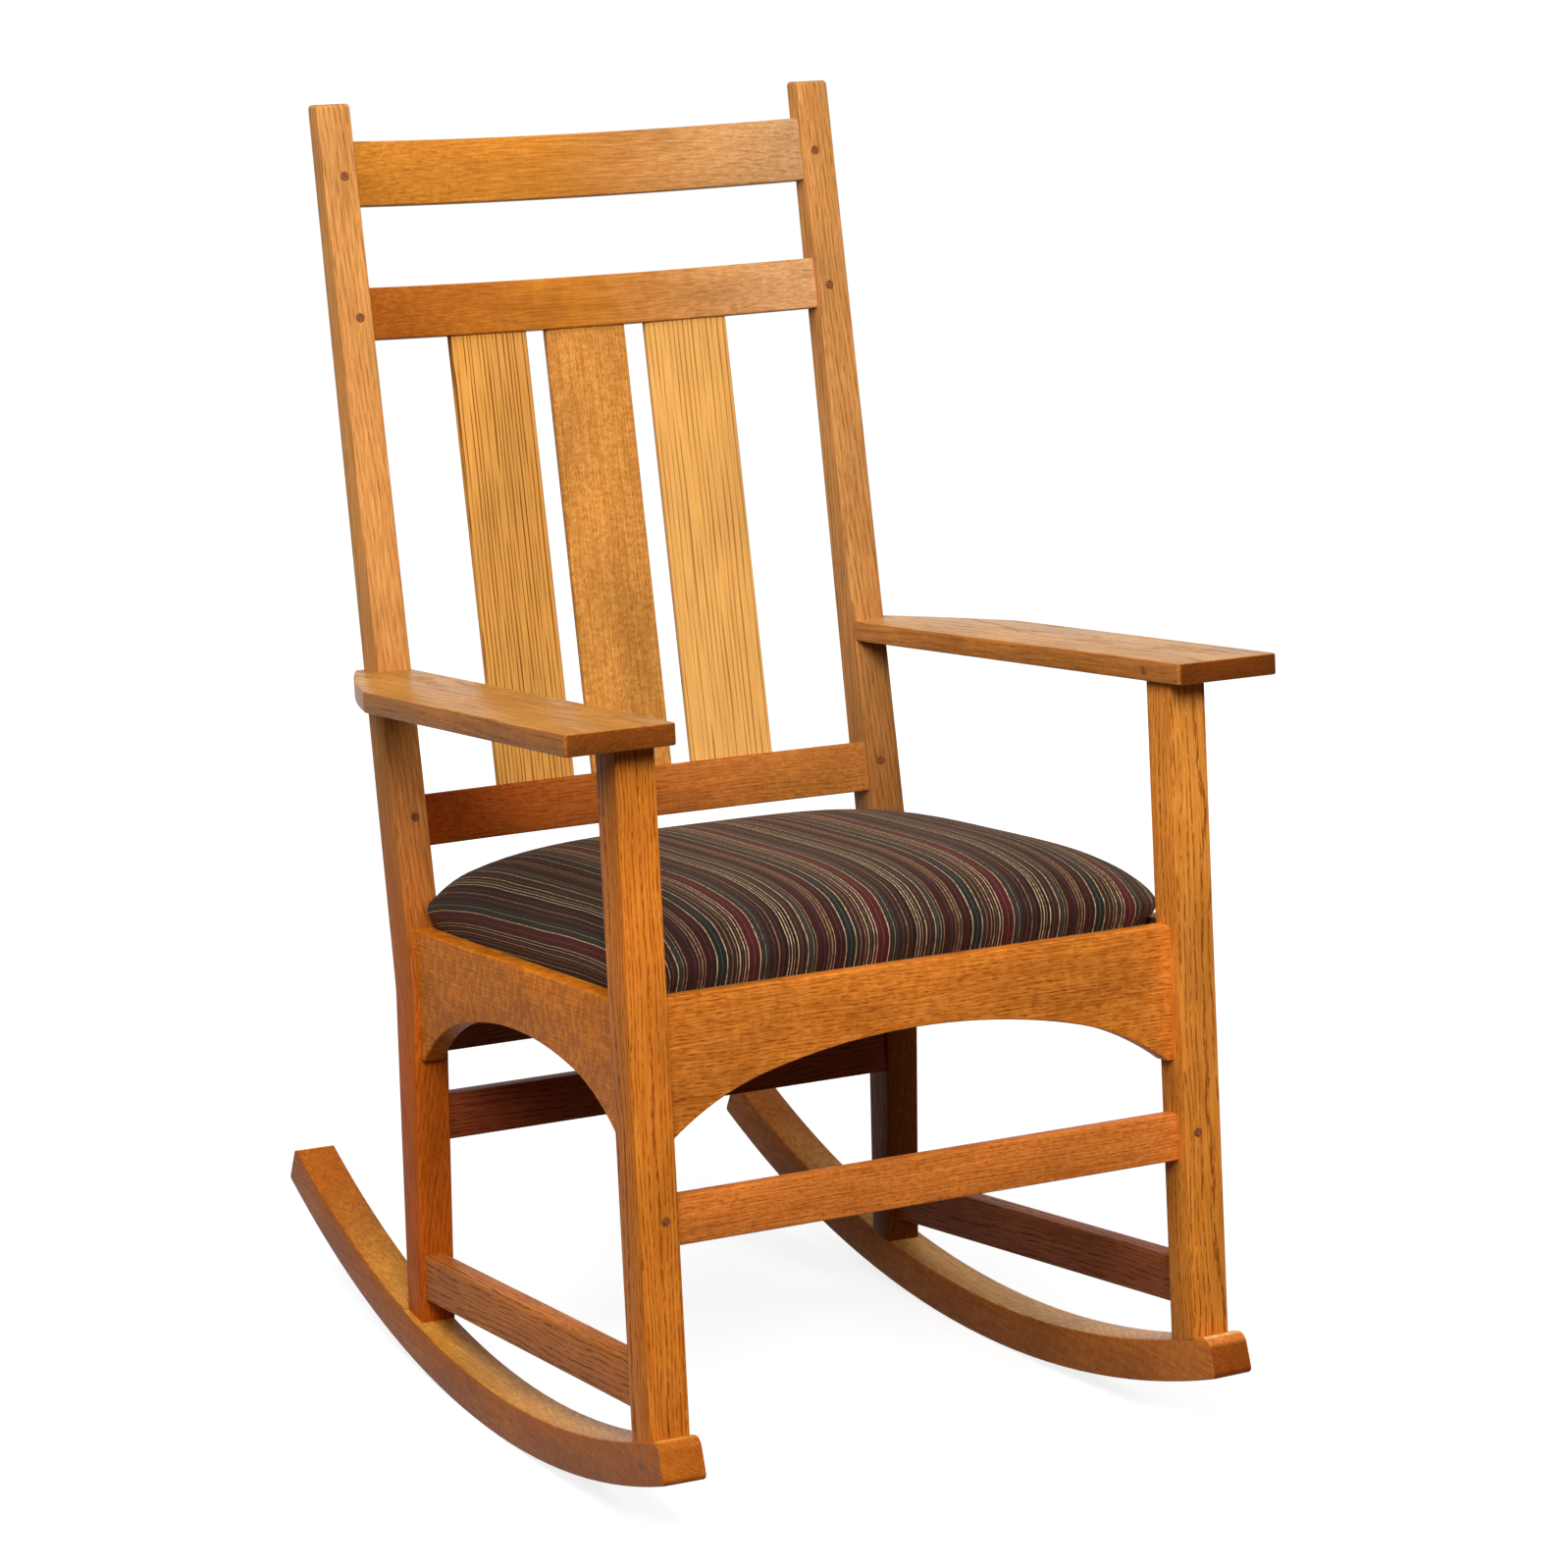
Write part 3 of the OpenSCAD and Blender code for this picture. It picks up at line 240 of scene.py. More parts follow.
    # End grain drinks the stain and turns dark, and its yellow goes first
    facing = add(tree, "ShaderNodeVectorMath", {0: shape.outputs["Normal"], 1: x},
                 operation="DOT_PRODUCT")
    square = add(tree, "ShaderNodeMath", {0: facing.outputs["Value"]}, operation="ABSOLUTE")
    cut_end = add(tree, "ShaderNodeMapRange", {
        "Value": square.outputs["Value"], "From Min": 0.72, "From Max": 0.95})
    ended = add(tree, "ShaderNodeMix", {
        0: cut_end.outputs["Result"], 6: sheened.outputs[2], 7: (end ** 0.7, end, end ** 1.4, 1.0)},
        data_type="RGBA", blend_type="MULTIPLY")

    # Broad clouds of stain
    mist = grain(120, 45, 45, shift=2.0)
    level = add(tree, "ShaderNodeMapRange", {
        "Value": mist.outputs["Fac"], "From Min": 0.3, "From Max": 0.7,
        "To Min": 1.0 - 0.16 * cloud, "To Max": 1.0 + 0.16 * cloud})
    toned = add(tree, "ShaderNodeVectorMath", {0: ended.outputs[2], "Scale": level.outputs["Result"]},
                operation="SCALE")
    tree.links.new(toned.outputs["Vector"], shader.inputs["Base Color"])

    # Pores are duller than the lacquer between them, and some 0.2 mm deep
    dull = add(tree, "ShaderNodeMath", {0: pore.outputs["Value"], 1: 0.2, 2: gloss},
               operation="MULTIPLY_ADD")
    tree.links.new(dull.outputs["Value"], shader.inputs["Roughness"])
    relief = add(tree, "ShaderNodeMath", {0: pore.outputs["Value"], 1: -1.0}, operation="MULTIPLY")
    bump = add(tree, "ShaderNodeBump", {
        "Height": relief.outputs["Value"], "Strength": 0.3, "Distance": 0.2 * MM})
    tree.links.new(bump.outputs["Normal"], shader.inputs["Normal"])
    shader.inputs["Specular IOR Level"].default_value = LACQUER_SHINE
    return material


# Directions of the level chair
UP, BACK, ACROSS = Vector((0, 0, 1)), Vector((0, 1, 0)), Vector((1, 0, 0))
FRONT = -BACK
POST_RISE = leaning(7.1)
POST_FACE = Vector((0, -POST_RISE.z, POST_RISE.y))
SIDE_SPLAY = math.radians(2.995)
SIDE_RUN = Vector((-math.sin(SIDE_SPLAY), math.cos(SIDE_SPLAY), 0))
SIDE_FACE = Vector((SIDE_RUN.y, -SIDE_RUN.x, 0))
MIRROR = Vector((-1, 1, 1))
REAR_POST_RUN = leaning(4)
ROCKER_RUN = Vector((0, 0.98, 0.14))

# What boards of one kind share in their cut
# The rear posts' colours change over their lower part: painted shade under the seat
REAR_POST = dict(wave=8, change=(-0.55, 0.15))
SIDE_RAIL = dict(pith=(150, 6), pores=0.35, rows=0.4, dash=8, fleck=1.0, fleck_size=1.5)
ARM = dict(ring=4.5, pores=0.4, fleck=0.2, gloss=0.3)
ROCKER = dict(pith=(150, 60), pores=0.3, dash=9, rows=0.5, fleck=0.35, fleck_size=1.4, gloss=0.3)

# Each board's name, stain (on some boards with painted shade or a painted reflection in it), grain
# direction, wide face and cut
BOARDS = {
    # Lighter towards its top: painted light from above
    "front_post_left": (
        "oak post, rift sawn, far front", ["#DD8931", "#EA9941"], UP, FRONT,
        dict(pith=(60, 90), dash=10)),
    "front_post_right": (
        "oak post, rift sawn, near front", ["#DB822C"], UP, FRONT,
        dict(pith=(90, 60), dash=10)),
    # Darker and redder towards its foot: painted shade under the seat
    "rear_post_left": (
        "oak post, rift sawn, far rear", ["#84420F", "#D29454"], REAR_POST_RUN, FRONT,
        dict(REAR_POST, pith=(120, 80), ring=3.4, pores=0.6, dash=16)),
    # Darker and redder towards its foot: painted shade under the seat
    "rear_post_right": (
        "oak post, rift sawn, near rear", ["#C66219", "#D39553"], REAR_POST_RUN, FRONT,
        dict(REAR_POST, pith=(110, 100), pores=0.5, dash=18)),
    # Paler and bluer towards its right end: a painted reflection
    "crest_rail": (
        "oak crest rail, quartersawn", ["#CD8531", "#C39668"], ACROSS, POST_FACE,
        dict(pith=(140, 60), ring=4.2, pores=0.4, change=(-0.1, 0.9), rows=0.6, fleck=0.15,
             fleck_size=0.8)),
    # Darker at its left end, and paler and bluer towards its right end, where a reflection is painted
    "upper_back_rail": (
        "oak upper rail, quartersawn", ["#AE6120", "#D1842F", "#CF9A67"], ACROSS, POST_FACE,
        dict(pith=(170, 8), pores=0.35, change=(-0.8, 0.8), rows=0.5, dash=20, fleck=0.22,
             fleck_size=2.2)),
    # Darker at its left end: the arm's shadow, painted
    "lower_back_rail": (
        "oak lower rail, quartersawn", ["#943B08", "#C57D39"], ACROSS, POST_FACE,
        dict(pith=(150, 8), pores=0.6, rows=0.6, fleck=0.25, fleck_size=0.8)),
    "back_slat_left": (
        "oak slat, rift sawn, far", ["#E3A85B"], POST_RISE, POST_FACE,
        dict(pith=(200, 60), ring=4.3, pores=0.75, dash=110, rows=0.97, cloud=0.6, wave=4, streaks=0.5)),
    "back_slat_centre": (
        "oak slat, quartersawn with ray fleck", ["#D08E43"], POST_RISE, POST_FACE,
        dict(pith=(160, 4), pores=0.5, rows=0.2, dash=5, fleck=0.5)),
    "back_slat_right": (
        "oak slat, rift sawn, near", ["#D99A4B"], POST_RISE, POST_FACE,
        dict(pith=(180, 60), ring=3.7, pores=1.35, dash=80, rows=0.95, cloud=0.7, wave=5, streaks=0.5)),
    "front_seat_rail": (
        "oak front rail, quartersawn", ["#D8802E"], ACROSS, FRONT,
        dict(pith=(140, 30), rows=0.45, dash=11, fleck=0.4, fleck_size=1.8)),
    "side_seat_rail_left": (
        "oak side rail, quartersawn with ray fleck, far", ["#D27618"], SIDE_RUN, SIDE_FACE, SIDE_RAIL),
    "side_seat_rail_right": (
        "oak side rail, quartersawn with ray fleck, near", ["#D27618"], SIDE_RUN * MIRROR,
        SIDE_FACE * MIRROR, SIDE_RAIL),
    # Darker than the other rails: painted shade under the seat
    "rear_seat_rail": (
        "oak rear rail, rift sawn", ["#804830"], ACROSS, BACK, dict(pith=(160, 60))),
    "front_stretcher": (
        "oak front stretcher, quartersawn", ["#D87E35"], ACROSS, FRONT,
        dict(pith=(150, 10), pores=0.8, rows=0.5, dash=8, fleck=0.3, fleck_size=0.8)),
    # Darker than the near side stretcher: painted shade under the seat
    "side_stretcher_left": (
        "oak side stretcher, rift sawn, far", ["#AC623D"], SIDE_RUN, SIDE_FACE, dict(pith=(90, 90))),
    "side_stretcher_right": (
        "oak side stretcher, rift sawn, near", ["#C87730"], SIDE_RUN * MIRROR, SIDE_FACE * MIRROR,
        dict(pith=(90, 90))),
    # Darker and redder than the front stretcher: painted shade under the seat
    "rear_stretcher": (
        "oak rear stretcher, rift sawn", ["#984B2C"], ACROSS, FRONT, dict(pith=(90, 90))),
    # The arms' and rockers' up-facing tops carry a painted sheen
    "arm_left": (
        "oak arm, plain sawn, far", ["#B57438", "#BC7C3C"], BACK, UP,
        dict(ARM, pith=(12, 70), end=0.27, painted_sheen=0.4)),
    "arm_right": (
        "oak arm, plain sawn, near", ["#A9692B", "#B9762F"], BACK, UP,
        dict(ARM, pith=(20, 60), end=0.4, painted_sheen=0.3)),
    "rocker_left": (
        "oak rocker, quartersawn with ray fleck, far", ["#CF7A34"], ROCKER_RUN, ACROSS,
        dict(ROCKER, end=0.28, painted_sheen=1.0)),
    "rocker_right": (
        "oak rocker, quartersawn with ray fleck, near", ["#B7651F"], ROCKER_RUN, -ACROSS,
        dict(ROCKER, end=0.95, painted_sheen=0.9)),
}


def finish_node(node, material):
    """Gives a CAD node one material in place of its plain one."""
    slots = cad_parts[node].data.materials
    slots.clear()
    slots.append(material)


for node, (name, stain_and_painted_light, along, face, cut) in BOARDS.items():
    finish_node(node, oak_board(node, name, stain_and_painted_light, along, face, **cut))


# Sanded edges, worn rounder where hands and floor rub them, and sawn curves shaded as curves

SANDED, WORN = 0.7 * MM, 1.4 * MM


def shaded_by_angle(degrees):
    """Shades faces smooth where they meet at less than an angle."""
    group = bpy.data.node_groups.new("smooth sawn curves", "GeometryNodeTree")
    group.interface.new_socket("Geometry", in_out="INPUT", socket_type="NodeSocketGeometry")
    group.interface.new_socket("Geometry", in_out="OUTPUT", socket_type="NodeSocketGeometry")
    start = add(group, "NodeGroupInput")
    faces = add(group, "GeometryNodeSetShadeSmooth", {"Geometry": start.outputs[0], "Shade Smooth": True},
                domain="FACE")
    turn = add(group, "GeometryNodeInputMeshEdgeAngle")
    sharp = add(group, "FunctionNodeCompare", {
        0: turn.outputs["Unsigned Angle"], 1: math.radians(degrees)},
        data_type="FLOAT", operation="GREATER_THAN")
    edges = add(group, "GeometryNodeSetShadeSmooth", {
        "Geometry": faces.outputs[0], "Selection": sharp.outputs[0], "Shade Smooth": False},
        domain="EDGE")
    add(group, "NodeGroupOutput", {"Geometry": edges.outputs[0]})
    return group


smooth_curves = shaded_by_angle(20)
for node in BOARDS:
    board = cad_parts[node]
    weld = board.modifiers.new("weld", "WELD")
    weld.merge_threshold = 0.01 * MM
    eased = board.modifiers.new("eased edges", "BEVEL")
    eased.width = WORN if node.startswith(("arm", "rocker")) else SANDED
    eased.segments, eased.limit_method = 2, "ANGLE"
    eased.angle_limit = math.radians(40)
    # Sliding along edges would fold the mesh at the upper rail's shoulders
    eased.loop_slide = False
    board.modifiers.new("smooth sawn curves", "NODES").node_group = smooth_curves


# Small oak and hidden pieces

def turned_peg(name):
    """Oak dowel, sawn flush and stained: its end grain drinks the stain and turns a dark red brown."""
    material, tree, shader = fresh(name)
    place = add(tree, "ShaderNodeTexCoord")
    speckle = add(tree, "ShaderNodeTexNoise", {"Vector": place.outputs["Object"], "Scale": 1 / (1.3 * MM),
                                               "Detail": 2.0})
    end = add(tree, "ShaderNodeValToRGB", {"Fac": speckle.outputs["Fac"]},
              stops=[(0.35, "#5A3016"), (0.5, "#7E4824"), (0.66, "#95592F")])
    tree.links.new(end.outputs["Color"], shader.inputs["Base Color"])
    shader.inputs["Roughness"].default_value = 0.5
    shader.inputs["Specular IOR Level"].default_value = 0.15
    return material


def sawn_softwood(name, light, dark, width):
    """Plain sawn wood without stain: pale, matt, with faint straight grain a few millimetres wide."""
    material, tree, shader = fresh(name)
    place = add(tree, "ShaderNodeTexCoord")
    drawn = add(tree, "ShaderNodeVectorMath", {
        0: place.outputs["Object"], 1: (1 / (60 * MM), 1 / (width * MM), 1 / (width * MM))},
        operation="MULTIPLY")
    lines = add(tree, "ShaderNodeTexNoise", {
        "Vector": drawn.outputs["Vector"], "Scale": 1.0, "Detail": 3.0})
    sawn = add(tree, "ShaderNodeValToRGB", {"Fac": lines.outputs["Fac"]},
               stops=[(0.35, dark), (0.65, light)])
    tree.links.new(sawn.outputs["Color"], shader.inputs["Base Color"])
    shader.inputs["Roughness"].default_value = 0.75
    return material


def plated_steel(name):
    """Zinc plated steel: a cool grey with a soft, slightly mottled shine."""
    material, tree, shader = fresh(name)
    place = add(tree, "ShaderNodeTexCoord")
    mottle = add(tree, "ShaderNodeTexNoise", {"Vector": place.outputs["Object"], "Scale": 1 / (2 * MM)})
    tint = add(tree, "ShaderNodeValToRGB", {"Fac": mottle.outputs["Fac"]},
               stops=[(0.3, "#9A9C9C"), (0.7, "#C2C3C1")])
    tree.links.new(tint.outputs["Color"], shader.inputs["Base Color"])
    shader.inputs["Metallic"].default_value = 1.0
    shader.inputs["Roughness"].default_value = 0.35
    return material


peg_wood = turned_peg("oak peg, end grain")
maple = sawn_softwood("maple corner block, sawn", "#D8B98A", "#C49C66", 3.0)
birch_ply = sawn_softwood("birch plywood, sanded", "#DCC094", "#CBA774", 5.0)
zinc = plated_steel("zinc plated screw steel")
PLAIN = {
    "back_rail_pegs": peg_wood, "stretcher_pegs": peg_wood, "arm_pegs": peg_wood, "rocker_pegs": peg_wood,
    "corner_blocks": maple, "seat_board": birch_ply, "corner_block_screws": zinc, "seat_screws": zinc,
}
for node, material in PLAIN.items():
    finish_node(node, material)


# The seat's cushion: a crowned form on the plan of the seat frame, in millimetres of the level chair

# Half the frame's width at the front posts' backs and at the rear posts, and these two depths
FRONT_X, REAR_X, FRONT_POST_D, SEAT_DEPTH = 273.0, 251.0, 35.5, 456.0
SPLAY = math.atan2(FRONT_X - REAR_X, SEAT_DEPTH - FRONT_POST_D)
# The side rails stand in from the posts' outer faces and are 19 mm thick
RAIL_SET, RAIL_T = 4.5, 19.0
# The front rail's back, the rails' top, and the board between them
SEAT_FRONT, SEAT_H, BOARD_TOP, BOARD_LOW = 33.0, 414.0, 410.0, 398.0
# The cloth, and the room under it, beside it and below its lip
CLOTH_T, BED_GAP, SEAT_GAP, LIP_GAP = 1.5, 0.3, 1.0, 0.5
# The plan's corner radii
PAD_FRONT_R, PAD_REAR_R = 40.0, 8.0
# The crown's height over the rails at the corners, its rise to the rear, its swell in the middle and
# how flat it is there
PAD_CORNER_H, PAD_REAR_RISE, PAD_CROWN, CROWN_POWER = 26.0, 5.5, 48.5, 4.0
# How far the edge rolls in, how far it swells out on the way, and how much less in a side's middle
PAD_ROLL, PAD_SWELL, PAD_DRAW = 29.0, 16.0, 4.0
PAD_MID = (SEAT_FRONT + SEAT_DEPTH) / 2
PAD_HALF = (SEAT_DEPTH - SEAT_FRONT) / 2
# The crown's rings of points, in shares of the way from the middle to the rolled edge
CROWN_RINGS = (0.94, 0.88, 0.82, 0.76, 0.7, 0.63, 0.56, 0.49, 0.42, 0.35, 0.28, 0.21, 0.14, 0.07)
# Below its swell the edge turns back in. The cloth's measure grows on while it does so by less than
# this share of its drop
TURN_SHARE = 0.8


def seat_half(y):
    """Half the width between the side rails at a depth."""
    return FRONT_X - RAIL_SET - RAIL_T / math.cos(SPLAY) - (y - FRONT_POST_D) * math.tan(SPLAY)


def outwards(degrees):
    """A direction of the plan."""
    a = math.radians(degrees)
    return Vector((math.cos(a), math.sin(a)))


def pad_outline(corner_steps, side_steps):
    """The cushion's plan, anticlockwise from the rear left corner: points and outward directions."""
    rear_y, front_y = SEAT_DEPTH - SEAT_GAP - PAD_REAR_R, SEAT_FRONT + SEAT_GAP + PAD_FRONT_R
    corners = [(1, rear_y, 0, PAD_REAR_R), (-1, rear_y, 90, PAD_REAR_R), (-1, front_y, 180, PAD_FRONT_R),
               (1, front_y, 270, PAD_FRONT_R)]
    centres = [Vector((side * (seat_half(y) - SEAT_GAP - radius), y))
               for side, y, turn, radius in corners]
    points = []
    for k, (side, y, turn, radius) in enumerate(corners):
        for i in range(corner_steps + 1):
            out = outwards(turn + 90 * i / corner_steps)
            points.append((centres[k] + radius * out, out))
        next_turn, next_radius = corners[(k + 1) % 4][2:]
        out = outwards(turn + 90)
        start = centres[k] + radius * out
        stop = centres[(k + 1) % 4] + next_radius * outwards(next_turn)
        for i in range(1, side_steps):
            points.append((start.lerp(stop, i / side_steps), out))
    return points


def pad_top(p):
    """Height of the crown over the rails at a point of the plan."""
    u = min(1.0, abs(p.x) / seat_half(p.y))
    v = min(1.0, abs(p.y - PAD_MID) / PAD_HALF)
    return (PAD_CORNER_H + PAD_REAR_RISE * (p.y - PAD_MID) / PAD_HALF
            + PAD_CROWN * (1 - (u ** CROWN_POWER + v ** CROWN_POWER) / 2))


def seat_cushion():
    """A closed form that lies on the board: flat below, with a lip of cloth down round the board's edge,
    then up over the swelling edge to the crown. Its map holds how far across and along the cloth each
    point lies."""
    outline = pad_outline(corner_steps=8, side_steps=26)
    mid = Vector((0.0, PAD_MID))
    bed, lip = BOARD_TOP + BED_GAP, BOARD_LOW + LIP_GAP
    rings = [[Vector((p.x - CLOTH_T * out.x, p.y - CLOTH_T * out.y, low)) for p, out in outline]
             for low in (bed, lip)]
    for low in (lip, (BOARD_LOW + SEAT_H) / 2):
        rings.append([Vector((p.x, p.y, low)) for p, out in outline])
    edge_steps = 14
    for step in range(edge_steps + 1):
        a = math.radians(90 * step / edge_steps)
        ring = []
        for p, out in outline:
            inward = (mid - p).normalized()
            u = abs(p.x) / seat_half(p.y)
            v = abs(p.y - PAD_MID) / PAD_HALF
            swell = (PAD_SWELL - PAD_DRAW * (1 - min(u, v) ** 2)) * math.sin(2 * a)
            q = p + inward * (PAD_ROLL * (1 - math.cos(a)) - swell)
            ring.append(Vector((q.x, q.y, SEAT_H + pad_top(q) * math.sin(a))))
        rings.append(ring)
    shoulder = rings[-1]
    for share in CROWN_RINGS:
        ring = []
        for s in shoulder:
            q = mid + (Vector((s.x, s.y)) - mid) * share
            ring.append(Vector((q.x, q.y, SEAT_H + pad_top(q))))
        rings.append(ring)
    n = len(outline)
    mesh = bmesh.new()
    rows = [[mesh.verts.new(at_rest(p)) for p in ring] for ring in rings]
    peak = mesh.verts.new(at_rest((0, PAD_MID, SEAT_H + PAD_CORNER_H + PAD_CROWN)))
    under = mesh.verts.new(at_rest((0, PAD_MID, bed)))

    # How far across the cloth a point lies: its X, and on the way down a side the drop as well
    cloth = {peak: (0.0, PAD_MID), under: (0.0, PAD_MID)}
    across = [[0.0] * n for ring in rings]
    for i, (p, out) in enumerate(outline):
        across[-1][i] = abs(rings[-1][i].x)
        for k in range(len(rings) - 2, -1, -1):
            a, b = rings[k + 1][i], rings[k][i]
            step_x = abs(b.x) - abs(a.x)
            drop = (a.z - b.z) * abs(out.x)
            step = math.copysign(math.hypot(step_x, drop), step_x + drop * TURN_SHARE)
            across[k][i] = across[k + 1][i] + step
    for k, row in enumerate(rows):
        for i, vert in enumerate(row):
            cloth[vert] = (math.copysign(across[k][i], rings[k][i].x), rings[k][i].y)

    faces = []
    for lower, upper in zip(rows, rows[1:]):
        for i in range(n):
            j = (i + 1) % n
            faces.append(mesh.faces.new((lower[i], lower[j], upper[j], upper[i])))
    for i in range(n):
        faces.append(mesh.faces.new((rows[-1][i], rows[-1][(i + 1) % n], peak)))
        faces.append(mesh.faces.new((under, rows[0][(i + 1) % n], rows[0][i])))
    layer = mesh.loops.layers.uv.new("cloth")
    for f in faces:
        f.smooth = True
        for loop in f.loops:
            u, v = cloth[loop.vert]
            loop[layer].uv = (u * MM, v * MM)
    data = bpy.data.meshes.new("striped_seat_cushion")
    mesh.to_mesh(data)
    mesh.free()
    cushion = bpy.data.objects.new("striped_seat_cushion", data)
    bpy.context.scene.collection.objects.link(cushion)
    return cushion


# Stripes of the cloth over one repeat, each a width in millimetres and a yarn colour, and the thin
# lines over them, each a start, a width and a colour: first the light ones, then the faint ones
CREAM, TAN, SAGE, DUSK = "#C6AA82", "#906E51", "#75705C", "#50463C"
BARK, COCOA, PLUM, WINE = "#25120F", "#341C16", "#2F1715", "#321312"
FOREST, MOSS, CHARCOAL, SOOT = "#1A1E1C", "#2D2722", "#281F1C", "#1C1211"
BANDS = [(10.2, BARK), (7.4, COCOA), (6.4, MOSS), (12.5, PLUM), (7.1, COCOA), (8.9, WINE), (10.5, FOREST),
         (7.5, COCOA), (12.3, BARK), (9.2, "#481719"), (10.3, CHARCOAL), (13.2, PLUM), (2.5, SOOT)]
LINES = [(0.2, 0.8, CREAM), (2.9, 0.8, CREAM), (5.6, 0.8, CREAM), (9.2, 0.9, CREAM), (17.7, 0.9, CREAM),
         (20.4, 0.8, DUSK), (22.8, 0.9, SAGE), (25.7, 0.7, TAN), (36.7, 0.9, TAN), (39.5, 1.1, TAN),
         (42.5, 0.8, CREAM), (52.7, 0.9, CREAM), (61.8, 0.9, CREAM), (70.8, 0.8, TAN), (73.5, 0.8, CREAM),
         (76.1, 0.7, TAN), (78.8, 0.8, CREAM), (81.5, 0.8, CREAM), (92.3, 0.9, CREAM), (95.0, 0.7, DUSK),
         (97.4, 1.0, SAGE), (100.2, 0.7, DUSK),
         (12.9, 0.6, DUSK), (33.4, 0.6, DUSK), (48.0, 0.6, DUSK), (57.6, 0.7, DUSK), (66.8, 0.6, SAGE),
         (87.0, 0.6, DUSK), (105.4, 0.7, DUSK), (109.6, 0.6, TAN), (113.4, 0.6, DUSK)]
REPEAT = sum(width for width, yarn in BANDS)
# A colour ramp holds 32 stops, so the lines come in groups
LINE_GROUPS = (LINES[:11], LINES[11:22], LINES[22:])
# How far the repeat's start is set over from the chair's middle, in repeats
FIRST_STRIPE = 4.955
# The stripes sway by so many millimetres over such a length
SWAY, SWAY_OVER = 2.2, 60
# Ribs across the cloth and ends along it, as drawn
RIB, END = 1.6, 1.25


